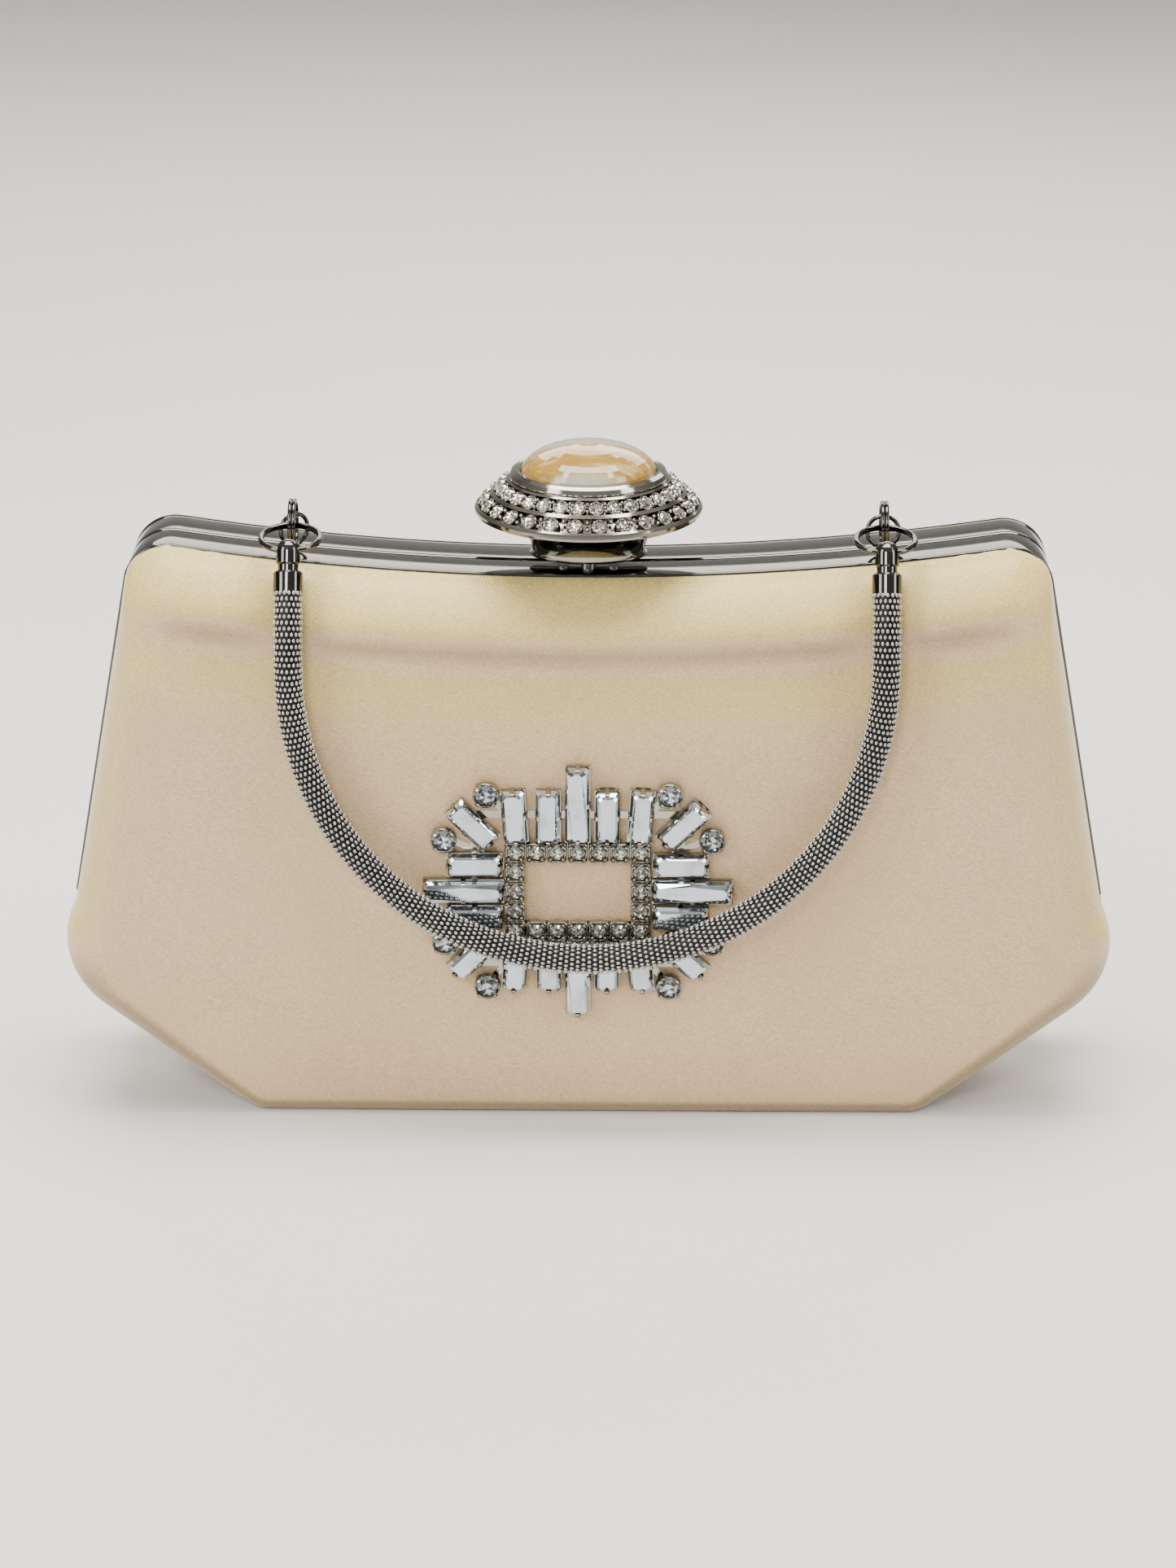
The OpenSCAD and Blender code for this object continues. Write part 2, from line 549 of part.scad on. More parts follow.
// The jump ring hangs from the split ring at its rear and carries an end cap at its front
jump_tilt = 9;
jump_rear_y = -7;
jump_rear_z = split_z - 0.3;
cap_y = jump_rear_y - 2 * jump_r * cos(jump_tilt);
cap_z = jump_rear_z - 2 * jump_r * sin(jump_tilt);
module jump_ring(side) color(metal)
    translate([side * loop_x, (jump_rear_y + cap_y) / 2, (jump_rear_z + cap_z) / 2]) rotate([jump_tilt, 0, 0])
    difference() {
        rotate_extrude($fn = 64) translate([jump_r, 0]) circle(jump_wire / 2, $fn = 24);
        rotate([0, 0, side > 0 ? 60 : 120]) translate([jump_r - 1.5, -0.1, -1.5]) cube([3, 0.2, 3]);
    }
module jump_ring_left() jump_ring(-1);
module jump_ring_right() jump_ring(1);

// ---- Handle ----
// Points of the handle as [height above the lowest, distance in front of the face], chosen by hand
hang = [[77, -0.8], [72, 1.1], [67, 2.7], [62, 3.7], [54, 4.5], [42, 5.8], [27, 7.5], [12, 8.4], [0, 8.5]];
cap_end_drop = 8.4;
tube_top_z = cap_z - cap_end_drop;
arc_centre_z = tube_top_z - 15;
tube_low_z = arc_centre_z - loop_x;
function hang_y(h, k = 0) =
    k >= len(hang) - 2 || h >= hang[k + 1][0]
    ? let (a = hang[k], b = hang[k + 1]) -half_d - mix(a[1], b[1], (a[0] - h) / (a[0] - b[0]))
    : hang_y(h, k + 1);
function hang_at(z) = hang_y((z - tube_low_z) * hang[0][0] / (tube_top_z - tube_low_z));
tube_top_y = hang_at(tube_top_z);
cap_lean = atan2(cap_y - tube_top_y, cap_z - tube_top_z);
cap_len = norm([cap_y - tube_top_y, cap_z - tube_top_z]);
sleeve_r = tube_d / 2 + 0.05;
dome_r = 2.5;
hole_r = 1.3;
module end_cap(side) color(metal) translate([side * loop_x, cap_y, cap_z]) rotate([-cap_lean, 0, 0]) difference() {
    rotate_extrude($fn = 48) polygon(concat([[0, -cap_len], [sleeve_r - 0.2, -cap_len], [sleeve_r, -cap_len + 0.2],
        [sleeve_r, -4.6], [sleeve_r - 0.4, -4.2], [2.1, -4.1], [2.1, -2.9], [dome_r, -2.5], [dome_r, 0]],
        [for (k = [1:8]) let (a = 90 * k / 8) [dome_r * cos(a), dome_r * sin(a)]]));
    translate([-5, 0, 0]) rotate([0, 90, 0]) cylinder(h = 10, r = hole_r);
}
module end_cap_left() end_cap(-1);
module end_cap_right() end_cap(1);
arc_steps = 36;
module handle_tube() color(metal) {
    down = [for (s = [0:3]) let (z = mix(tube_top_z, arc_centre_z, s / 4)) [-loop_x, hang_at(z), z]];
    arc = [for (k = [0:arc_steps]) let (a = 180 * k / arc_steps, z = arc_centre_z - loop_x * sin(a))
        [-loop_x * cos(a), hang_at(z), z]];
    up = [for (k = [3:-1:0]) [loop_x, down[k].y, down[k].z]];
    swept(concat(down, arc, up), tube_d / 2, 12, [0, -1, 0]);
}

// ---- Brooch ----
// Everything on the brooch is drawn flat, [x, z] from its centre, then stood on the face
module on_face(out) translate([-brooch_left, -half_d - out, brooch_z]) rotate([90, 0, 0]) children();
window_x = 6;
window_z = 4;
frame_x = chaton_pitch * window_x / 2;
frame_z = chaton_pitch * window_z / 2;
frame_edge = chaton_pitch / 2 - 0.4;
// The stones start just outside the window's frame: [x, z, turn]
stone_gap = 0.35;
long_at = [for (s = [-1, 1]) each [[0, s * (frame_z + frame_edge + stone_gap + long_l / 2), 90],
    [s * (frame_x + frame_edge + 0.6 + long_l / 2), 0, 0]]];
row_z = frame_z + frame_edge + stone_gap + short_l / 2;
row_x = frame_x + frame_edge + 0.9 + short_l / 2;
step = baguette_w + 0.9;
diag = (short_l + baguette_w) / 2 * sin(45) + 0.3;
short_at = [for (s = [-1, 1]) for (t = [-1, 1]) each [
    [s * step, t * row_z, 90], [s * (2 * step + 0.9), t * row_z, 90 - s * t * 4],
    [s * row_x, t * (step - 0.3), 0],
    [s * (2 * step + 0.9 + baguette_w / 2 + diag), t * (step - 0.3 + baguette_w / 2 + diag), s * t * 45]]];
round_at = [for (s = [-1, 1]) for (t = [-1, 1]) each [
    [s * (2 * step + 0.9 + baguette_w / 2 + round_d / 2 + 0.8), t * (row_z + short_l / 2 - 1)],
    [s * (row_x + short_l / 2 + 0.6), t * (step - 0.3 + baguette_w / 2 + round_d / 2 + 0.5)]]];
chaton_at = concat([for (k = [0:window_x]) for (t = [-1, 1]) [(k - window_x / 2) * chaton_pitch, t * frame_z]],
    [for (k = [1:window_z - 1]) for (s = [-1, 1]) [s * frame_x, (k - window_z / 2) * chaton_pitch]]);
plate_t = 0.8;
plate_gap = 0.05;
plate_top = plate_gap + plate_t;
cup_h = 1.3;
cup_t = 0.35;
chaton_d = 3.3;
module brooch_plate() color(metal) on_face(plate_gap) linear_extrude(plate_t) offset(delta = 0.01) {
    for (p = long_at) translate([p.x, p.y]) rotate(p.z) square([long_l + 0.5, 3], center = true);
    for (p = short_at) translate([p.x, p.y]) rotate(p.z) square([short_l + 0.5, 3], center = true);
    for (p = round_at) translate([p.x, p.y]) circle(round_d / 2, $fn = 24);
    for (p = round_at) translate([p.x, p.y]) rotate(atan2(p.y, p.x)) translate([-4.5, 0]) square([7, 1.4], center = true);
    difference() {
        square([2 * frame_x + 3.2, 2 * frame_z + 3.2], center = true);
        square([2 * frame_x - 3.2, 2 * frame_z - 3.2], center = true);
    }
    difference() {
        square([2 * row_x + 1.6, 2 * row_z + 1.6], center = true);
        square([2 * row_x - 1.6, 2 * row_z - 1.6], center = true);
    }
}
module baguette_cup(l) difference() {
    translate([-l / 2, -baguette_w / 2, 0]) cube([l, baguette_w, cup_h]);
    translate([-l / 2 + cup_t, -baguette_w / 2 + cup_t, 0.5]) cube([l - 2 * cup_t, baguette_w - 2 * cup_t, cup_h]);
}
module round_cup(d) difference() {
    cylinder(h = cup_h, d = d);
    translate([0, 0, 0.5]) cylinder(h = cup_h, d = d - 2 * cup_t);
}
module brooch_cups() color(metal) on_face(plate_top + 0.02) {
    for (p = long_at) translate([p.x, p.y, 0]) rotate(p.z) baguette_cup(long_l);
    for (p = short_at) translate([p.x, p.y, 0]) rotate(p.z) baguette_cup(short_l);
    for (p = round_at) translate([p.x, p.y, 0]) round_cup(round_d);
    for (p = chaton_at) translate([p.x, p.y, 0]) round_cup(chaton_d + 0.7);
}
stone_base = plate_top + 0.55;
baguette_h = 2.6;
// A step cut stone: a sloping girdle under a flat table
module baguette(l) {
    w = baguette_w - 2 * cup_t - 0.1;
    levels = [[0, 0.9], [0.9, 0], [1.4, 0], [baguette_h, 0.95]];
    corners = [[-1, -1], [1, -1], [1, 1], [-1, 1]];
    polyhedron([for (v = levels) for (c = corners)
        [c.x * ((l - 2 * cup_t - 0.1) / 2 - v[1]), c.y * (w / 2 - v[1]), v[0]]],
        concat([[0, 1, 2, 3]], [for (k = [0:2]) for (s = [0:3]) let (t = (s + 1) % 4)
            [4 * k + s, 4 * k + 4 + s, 4 * k + 4 + t, 4 * k + t]], [[15, 14, 13, 12]]));
}
module baguettes_long() color(glass) on_face(stone_base)
    for (p = long_at) translate([p.x, p.y, 0]) rotate(p.z) baguette(long_l);
module baguettes_short() color(glass) on_face(stone_base)
    for (p = short_at) translate([p.x, p.y, 0]) rotate(p.z) baguette(short_l);
module brooch_rounds() color(glass) on_face(stone_base)
    for (p = round_at) translate([p.x, p.y, 0]) round_stone(round_d / 2 - cup_t - 0.05, 2.8);
module brooch_chatons() color(glass) on_face(stone_base)
    for (p = chaton_at) translate([p.x, p.y, 0]) round_stone(chaton_d / 2 - 0.06, 2.2);
// Prongs stand on the plate at the ends of each long stone and bend over it
prong_w = 0.8;
prong_t = 0.4;
module prong_pair(l) for (s = [0, 180]) rotate(s) translate([l / 2 + 0.03, -prong_w / 2, 0]) {
    cube([prong_t, prong_w, baguette_h + 0.35]);
}
module brooch_prongs() color(metal) on_face(plate_top + 0.02) {
    for (p = long_at) translate([p.x, p.y, 0]) rotate(p.z) prong_pair(long_l);
    for (p = short_at) translate([p.x, p.y, 0]) rotate(p.z) prong_pair(short_l);
}
// Four studs through the cover, the shell and the lining, with washers inside
stud_r = 0.9;
stud_at = [for (s = [-1, 1]) for (t = [-1, 1]) [s * row_x, t * row_z]];
module pierced() difference() {
    children();
    for (p = stud_at) translate([p.x - brooch_left, 0, brooch_z + p.y]) rotate([90, 0, 0])
        cylinder(h = 40, r = stud_r);
}
module brooch_studs() color(metal) on_face(0) for (p = stud_at)
    translate([p.x, p.y, -inner_deep - 0.9]) cylinder(h = inner_deep + 0.9 + plate_gap, r = stud_r - 0.05);
module brooch_washers() color(metal) on_face(0) for (p = stud_at)
    translate([p.x, p.y, -inner_deep - 0.65]) difference() {
        cylinder(h = 0.6, r = 2.6);
        translate([0, 0, -1]) cylinder(h = 3, r = stud_r);
    }

front_frame();
back_frame();
front_shell();
back_shell();
front_cover();
back_cover();
front_lining();
back_lining();
side_gusset_left();
side_gusset_right();
bottom_gusset();
hinge_rivet_left();
hinge_rivet_right();
knob_stem();
knob_head();
knob_bezel();
cabochon();
knob_stones_upper();
knob_stones_lower();
knob_rod();
latch_hook();
hook_nut();
latch_spring();
latch_cage();
cage_rivets();
catch_plate();
catch_rivets();
strap_loop_left();
strap_loop_right();
split_ring_left();
split_ring_right();
jump_ring_left();
jump_ring_right();
end_cap_left();
end_cap_right();
handle_tube();
brooch_plate();
brooch_cups();
brooch_prongs();
baguettes_long();
baguettes_short();
brooch_rounds();
brooch_chatons();
brooch_studs();
brooch_washers();
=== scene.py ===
"""Satin evening bag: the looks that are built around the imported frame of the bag."""
import json
import math

import bmesh
import bpy
import numpy as np
from bpy.props import FloatProperty, FloatVectorProperty, IntProperty
from mathutils import Matrix, Vector, noise


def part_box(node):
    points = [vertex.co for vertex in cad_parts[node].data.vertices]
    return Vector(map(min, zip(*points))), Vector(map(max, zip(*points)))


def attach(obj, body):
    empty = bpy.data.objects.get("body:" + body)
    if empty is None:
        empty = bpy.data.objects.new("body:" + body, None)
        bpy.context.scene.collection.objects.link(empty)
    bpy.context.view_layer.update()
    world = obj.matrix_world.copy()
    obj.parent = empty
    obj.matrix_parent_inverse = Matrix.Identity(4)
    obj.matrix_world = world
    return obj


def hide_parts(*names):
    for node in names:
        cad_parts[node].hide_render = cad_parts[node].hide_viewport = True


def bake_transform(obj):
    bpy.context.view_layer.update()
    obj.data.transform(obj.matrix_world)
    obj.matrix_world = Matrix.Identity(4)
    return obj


bl_info = {
    "name": "Satin evening bag",
    "version": (1, 0, 0),
    "blender": (4, 5, 0),
    "location": "View3D > Sidebar > Evening bag",
    "description": "Builds a satin frame bag with a jewelled clasp, a stone brooch and a snake tube handle",
    "category": "Object",
}

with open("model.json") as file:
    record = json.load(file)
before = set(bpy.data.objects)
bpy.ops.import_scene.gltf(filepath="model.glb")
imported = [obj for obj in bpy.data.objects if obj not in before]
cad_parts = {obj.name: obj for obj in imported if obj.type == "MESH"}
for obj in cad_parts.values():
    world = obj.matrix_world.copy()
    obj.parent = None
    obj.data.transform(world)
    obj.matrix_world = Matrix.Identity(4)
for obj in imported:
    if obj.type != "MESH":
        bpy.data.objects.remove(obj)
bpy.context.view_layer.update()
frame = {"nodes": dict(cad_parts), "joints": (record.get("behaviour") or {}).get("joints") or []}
MM = 0.001
FRONT, BACK, KNOB, HANDLE = "front_half", "back_half", "knob", "handle"


def cad_span(node, axis):
    """Lowest and highest place of a CAD node along one axis, in millimetres."""
    low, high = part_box(node)
    return low[axis] / MM, high[axis] / MM


BAG_OPEN = next(j for j in frame["joints"] if j["name"] == "bag_open")
HINGE_Z = BAG_OPEN["pos_m"][2] / MM
OPEN_DEG = BAG_OPEN["range_deg"][1]
HALF_DEPTH = -cad_span("front_cover", 1)[0]
FRAME_DEPTH = -cad_span("front_frame", 1)[0]
TOP_Z = cad_span("front_frame", 2)[1]


# ---------------------------------------------------------------- sizes and colours


def colour_setting(name, description, default):
    """A colour among the settings."""
    return FloatVectorProperty(name=name, description=description, subtype="COLOR", size=3, default=default)


class BagBody(bpy.types.PropertyGroup):
    """Sizes of the two halves, in millimetres, and the colours of their cloth."""

    body_width: FloatProperty(name="Width", description="Over the two widest corners, before rounding", default=223)
    bottom_width: FloatProperty(name="Bottom width", description="Width of the flat bottom", default=140)
    top_width: FloatProperty(name="Top width", description="Over the two top corners", default=188.6)
    wide_height: FloatProperty(name="Widest at", description="Height of the widest corners", default=29)
    corner_height: FloatProperty(name="Corner height", description="Height of the top corners", default=123.4)
    top_dip: FloatProperty(name="Top dip", description="Dip of the top edge between its corners", default=7.7)
    roll_height: FloatProperty(name="Roll height", description="Height of the soft roll below the top", default=25)
    bulge: FloatProperty(name="Bulge", description="How far the padded face stands out", default=1.0)
    roll: FloatProperty(name="Roll", description="How far the roll stands out over the face", default=2.5)
    gather: FloatProperty(name="Gathers", description="Height of the small gathers at the top corners", default=0.95)
    satin: colour_setting("Satin", "Colour of the satin", (0.72, 0.51, 0.295))
    lining: colour_setting("Lining", "Colour of the lining", (0.46, 0.36, 0.26))


class BagMetal(bpy.types.PropertyGroup):
    """Sizes and colours of the metal pieces."""

    lip: FloatProperty(name="Rolled lip", description="Radius of the frame's rolled front edge, in mm", default=0.42)
    plating: colour_setting("Plating", "Colour of the polished plating", (0.095, 0.094, 0.088))
    polish: FloatProperty(name="Polish", description="Roughness of the polished plating", subtype="FACTOR",
                          default=0.07, min=0, max=1)
    mesh_bead: FloatProperty(name="Mesh bead", description="Radius of one bead of the snake mesh, in mm",
                             default=0.41)
    beads_round: IntProperty(name="Beads round", description="Beads round the snake tube", default=18)


class BagStones(bpy.types.PropertyGroup):
    """Colours of the stones."""

    crystal: colour_setting("Crystal", "Colour of the foiled stones", (0.50, 0.56, 0.62))
    cream: colour_setting("Cream", "Pale bands of the cabochon", (0.42, 0.33, 0.15))
    smoked: colour_setting("Smoked", "Colour of the small round stones", (0.56, 0.56, 0.51))
    ochre: colour_setting("Ochre", "Dark bands of the cabochon", (0.30, 0.165, 0.03))


class BagStage(bpy.types.PropertyGroup):
    """The camera and the floor."""

    azimuth: FloatProperty(name="Azimuth", description="Degrees the camera stands to the right", default=0.8)
    elevation: FloatProperty(name="Elevation", description="Degrees the camera stands above", default=20)
    distance: FloatProperty(name="Distance", description="From the aim to the camera", subtype="DISTANCE",
                            unit="LENGTH", default=0.9)
    lens: FloatProperty(name="Lens", description="Focal length in mm", default=98.4)
    aim_y: FloatProperty(name="Aim depth", description="Depth of the camera's aim", unit="LENGTH", default=-0.010)
    aim_z: FloatProperty(name="Aim height", description="Height of the camera's aim", unit="LENGTH", default=0.0697)


# ---------------------------------------------------------------- mesh helpers


def new_piece(name, verts, faces, materials, smooth=True, sharp_deg=40):
    """A mesh object from points in millimetres."""
    mesh = bpy.data.meshes.new(name)
    mesh.from_pydata([tuple(float(c) * MM for c in v) for v in verts], [], [tuple(map(int, f)) for f in faces])
    mesh.validate()
    piece = bpy.data.objects.new(name, mesh)
    bpy.context.scene.collection.objects.link(piece)
    for m in materials:
        mesh.materials.append(m)
    if smooth:
        mesh.shade_smooth()
        mesh.set_sharp_from_angle(angle=math.radians(sharp_deg))
    return piece


def grid_faces(rows, cols, closed_cols=False, closed_rows=False, start=0):
    """Quads between rows of points, each row holding cols points."""
    out = []
    for r in range(rows if closed_rows else rows - 1):
        for c in range(cols if closed_cols else cols - 1):
            d, s = (c + 1) % cols, (r + 1) % rows
            out.append((start + r * cols + c, start + s * cols + c, start + s * cols + d, start + r * cols + d))
    return out


def end_faces(rows, cols):
    """The two end faces of a tube made of rows of points."""
    return [tuple(range(cols)), tuple((rows - 1) * cols + k for k in reversed(range(cols)))]


def shifted(faces, start):
    """Faces whose points come after the first start points."""
    return [tuple(v + start for v in f) for f in faces]


def settle_on(piece, body, slot, *nodes):
    """Puts a piece on its body and hides the CAD nodes it stands for; the slot is not used."""
    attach(piece, body)
    if nodes:
        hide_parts(*nodes)


def facing_out(piece):
    """Turns the faces of a closed piece outwards."""
    bm = bmesh.new()
    bm.from_mesh(piece.data)
    bmesh.ops.recalc_face_normals(bm, faces=bm.faces)
    bm.to_mesh(piece.data)
    bm.free()
    return piece


def thicken(piece, millimetres, offset=-1):
    """Gives a cloth its thickness."""
    m = piece.modifiers.new("thickness", "SOLIDIFY")
    m.thickness = millimetres * MM
    m.offset = offset
    m.use_even_offset = False
    return piece


def scatter(template, placements):
    """One list of points and faces from copies of a template at the given 4x4 placements."""
    points, faces = np.array(template[0], float), template[1]
    all_points, all_faces = [], []
    for k, m in enumerate(placements):
        m = np.array(m)
        all_points.append(points @ m[:3, :3].T + m[:3, 3])
        all_faces += shifted(faces, k * len(points))
    return np.concatenate(all_points), all_faces


def placement(origin, x_axis, z_axis, scale=(1, 1, 1)):
    """A 4x4 placement with the given x and z directions."""
    z = Vector(z_axis).normalized()
    x = (Vector(x_axis) - Vector(x_axis).dot(z) * z).normalized()
    y = z.cross(x)
    m = Matrix((x, y, z)).transposed().to_4x4() @ Matrix.Diagonal((*scale, 1))
    m.translation = Vector(origin)
    return m


def foot_of(solid):
    """Middle of a solid's rear face, seen from the front."""
    low, high = solid.min(0), solid.max(0)
    return Vector(((high[0] + low[0]) / 2, high[1], (high[2] + low[2]) / 2))


def solids_of(node):
    """The separate solids of a CAD node, each as an array of its points in millimetres."""
    mesh = frame["nodes"][node].data
    points = np.array([v.co for v in mesh.vertices], float).reshape(-1, 3) / MM
    _, weld = np.unique(np.round(points, 3), axis=0, return_inverse=True)
    weld = weld.reshape(-1)
    parent = list(range(weld.max() + 1))

    def root(i):
        while parent[i] != i:
            parent[i] = parent[parent[i]]
            i = parent[i]
        return i

    for e in mesh.edges:
        a, b = root(weld[e.vertices[0]]), root(weld[e.vertices[1]])
        parent[a] = b
    groups = {}
    for i, w in enumerate(weld):
        groups.setdefault(root(w), []).append(i)
    return [points[g] for g in groups.values()]


# ---------------------------------------------------------------- outline of the bag


def unit(v):
    """The direction of v, with length 1."""
    return v / np.linalg.norm(v)


def inset_vertex(a, b, c, d):
    """Vertex b between a and c, moved inwards by d."""
    a, b, c = (np.array(v, float) for v in (a, b, c))
    p, q = unit(a - b), unit(c - b)
    half = math.acos(float(p @ q)) / 2
    return b + unit(p + q) * d / math.sin(half)


def round_corner(a, b, c, r, n):
    """n + 1 points of the round corner at b."""
    p, q = unit(a - b), unit(c - b)
    half = math.acos(float(p @ q)) / 2
    centre = b + unit(p + q) * r / math.sin(half)
    arm = b + p * r / math.tan(half) - centre
    out = []
    for t in np.linspace(0, math.pi - 2 * half, n + 1):
        cos, sin = math.cos(t), math.sin(t)
        out.append(centre + [arm[0] * cos - arm[1] * sin, arm[0] * sin + arm[1] * cos])
    return out


STEPS = {"bottom": 12, "low": 8, "chamfer": 10, "wide": 14, "side": 34, "top_corner": 16, "top": 40}


def half_outline(v1, v2, v3, zc, r1, r2, r3):
    """The right half of an outline, from the middle of the bottom to the middle of the top."""
    low = round_corner(np.array([0, v1[1]]), v1, v2, r1, STEPS["low"])
    wide = round_corner(v1, v2, v3, r2, STEPS["wide"])
    top = round_corner(v2, v3, np.array([0, 2 * zc - v3[1]]), r3, STEPS["top_corner"])

    def straight(a, b, n, first=False):
        return [a + (b - a) * s for s in np.linspace(0, 1, n + 1)[0 if first else 1:-1]]

    out = straight(np.array([0, v1[1]]), low[0], STEPS["bottom"], True) + low
    out += straight(low[-1], wide[0], STEPS["chamfer"]) + wide + straight(wide[-1], top[0], STEPS["side"]) + top
    end = top[-1]
    for k in range(1, STEPS["top"] + 1):
        x = end[0] * (1 - k / STEPS["top"])
        out.append(np.array([x, zc + (end[1] - zc) * (x / end[0]) ** 2]))
    return np.array(out)


class Shape:
    """The bag's outline and the layers inside it, as the CAD halves have them."""

    face_side, face_bottom, face_chamfer = 7.6, 3.5, 9.6
    bottom_r, wide_r, corner_r = 5.5, 16, 9
    under_frame, rim_seam, near_hinge = 1.05, 1.6, 8

    def __init__(self, size):
        self.size = size
        b, w = size.bottom_width / 2, size.body_width / 2
        self.slope = (w - size.top_width / 2) / (size.corner_height - size.wide_height)
        self.bottom, self.wide = np.array([b, 0.0]), np.array([w, size.wide_height])
        self.corner = np.array([size.top_width / 2, size.corner_height])
        self.top = size.corner_height - size.top_dip
        fz = size.corner_height - size.roll_height - 1
        self.face = (np.array([b - 1, self.face_bottom]), np.array([w - self.face_chamfer, size.wide_height + 2]),
                     np.array([w - (fz - size.wide_height) * self.slope - self.face_side, fz]))
        self.face_top = self.top - size.roll_height

    @staticmethod
    def whole(half):
        """A closed outline from its right half."""
        mirrored = half[-2:0:-1] * [-1, 1]
        return np.concatenate([half, mirrored])

    def body(self, d):
        """The bag's outline, moved inwards by d."""
        return self.whole(half_outline(
            inset_vertex([0, 0], self.bottom, self.wide, d), inset_vertex(self.bottom, self.wide, self.corner, d),
            inset_vertex(self.wide, self.corner, [0, self.size.corner_height - 2 * self.size.top_dip], d),
            self.top - d, self.bottom_r - d / 2, self.wide_r - d, self.corner_r - d))

    def flat(self, d):
        """The edge of the flat face, moved inwards by d."""
        v1, v2, v3 = self.face
        return self.whole(half_outline(
            inset_vertex([0, self.face_bottom], v1, v2, d), inset_vertex(v1, v2, v3, d),
            inset_vertex(v2, v3, [0, 2 * self.face_top - v3[1]], d),
            self.face_top - d, self.bottom_r, self.wide_r - 2 - d, self.corner_r + 7 - d))

    def rim_depth(self, z, tuck):
        """Distance of a rim from the seam at height z."""
        relief = math.tan(math.radians(OPEN_DEG / 2 + 1))
        free = self.rim_seam + (HINGE_Z - z) * relief
        low = self.rim_seam + self.near_hinge * relief
        held = tuck + (low - tuck) * (HINGE_Z - z) / self.near_hinge
        return np.where(z >= HINGE_Z, tuck, np.where(z <= HINGE_Z - self.near_hinge, free, held))

    def skin(self, deep, tuck, angles, wall_steps, face_rings):
        """Rings of one layer from its rim, over the rounded edge, to the middle of the face."""
        outer, outer_face = self.body(0), self.flat(0)
        z = outer[:, 1]
        flush = np.clip((HINGE_Z + 0.4 - z) / 4, 0, 1)[:, None]
        start = self.body(deep + self.under_frame) * (1 - flush) + self.body(deep) * flush
        face = self.flat(0.35 * deep)
        roll = HALF_DEPTH - FRAME_DEPTH - 0.2
        depth = np.clip(1.15 * np.linalg.norm(outer_face - outer, axis=1), 4, roll) - deep
        shoulder = HALF_DEPTH - deep - depth
        rim = np.minimum(self.rim_depth(z, tuck), shoulder - 0.2)
        rings = []
        for s in np.linspace(0, 1, wall_steps, endpoint=False):
            rings.append(np.stack([start[:, 0], -(rim + (shoulder - rim) * s), start[:, 1]], 1))
        for a in angles:
            q = start + (face - start) * (1 - math.cos(a))
            rings.append(np.stack([q[:, 0], -(shoulder + depth * math.sin(a)), q[:, 1]], 1))
        middle = np.array([0, 52.0])
        for s in np.linspace(1, 0.04, face_rings + 1)[1:]:
            q = middle + (face - middle) * s
            rings.append(np.stack([q[:, 0], np.full(len(q), -(HALF_DEPTH - deep)), q[:, 1]], 1))
        return rings


def skin_piece(name, rings, material, mirror_y=False):
    """One cloth from its rings, closed at the middle of the face."""
    n = len(rings[0])
    points = np.concatenate(rings + [rings[-1].mean(0)[None]])
    faces = grid_faces(len(rings), n, closed_cols=True)
    last = (len(rings) - 1) * n
    faces += [(last + i, len(points) - 1, last + (i + 1) % n) for i in range(n)]
    if mirror_y:
        points = points * [1, -1, 1]
        faces = [f[::-1] for f in faces]
    return new_piece(name, points, faces, [material], sharp_deg=80)


# ---------------------------------------------------------------- materials


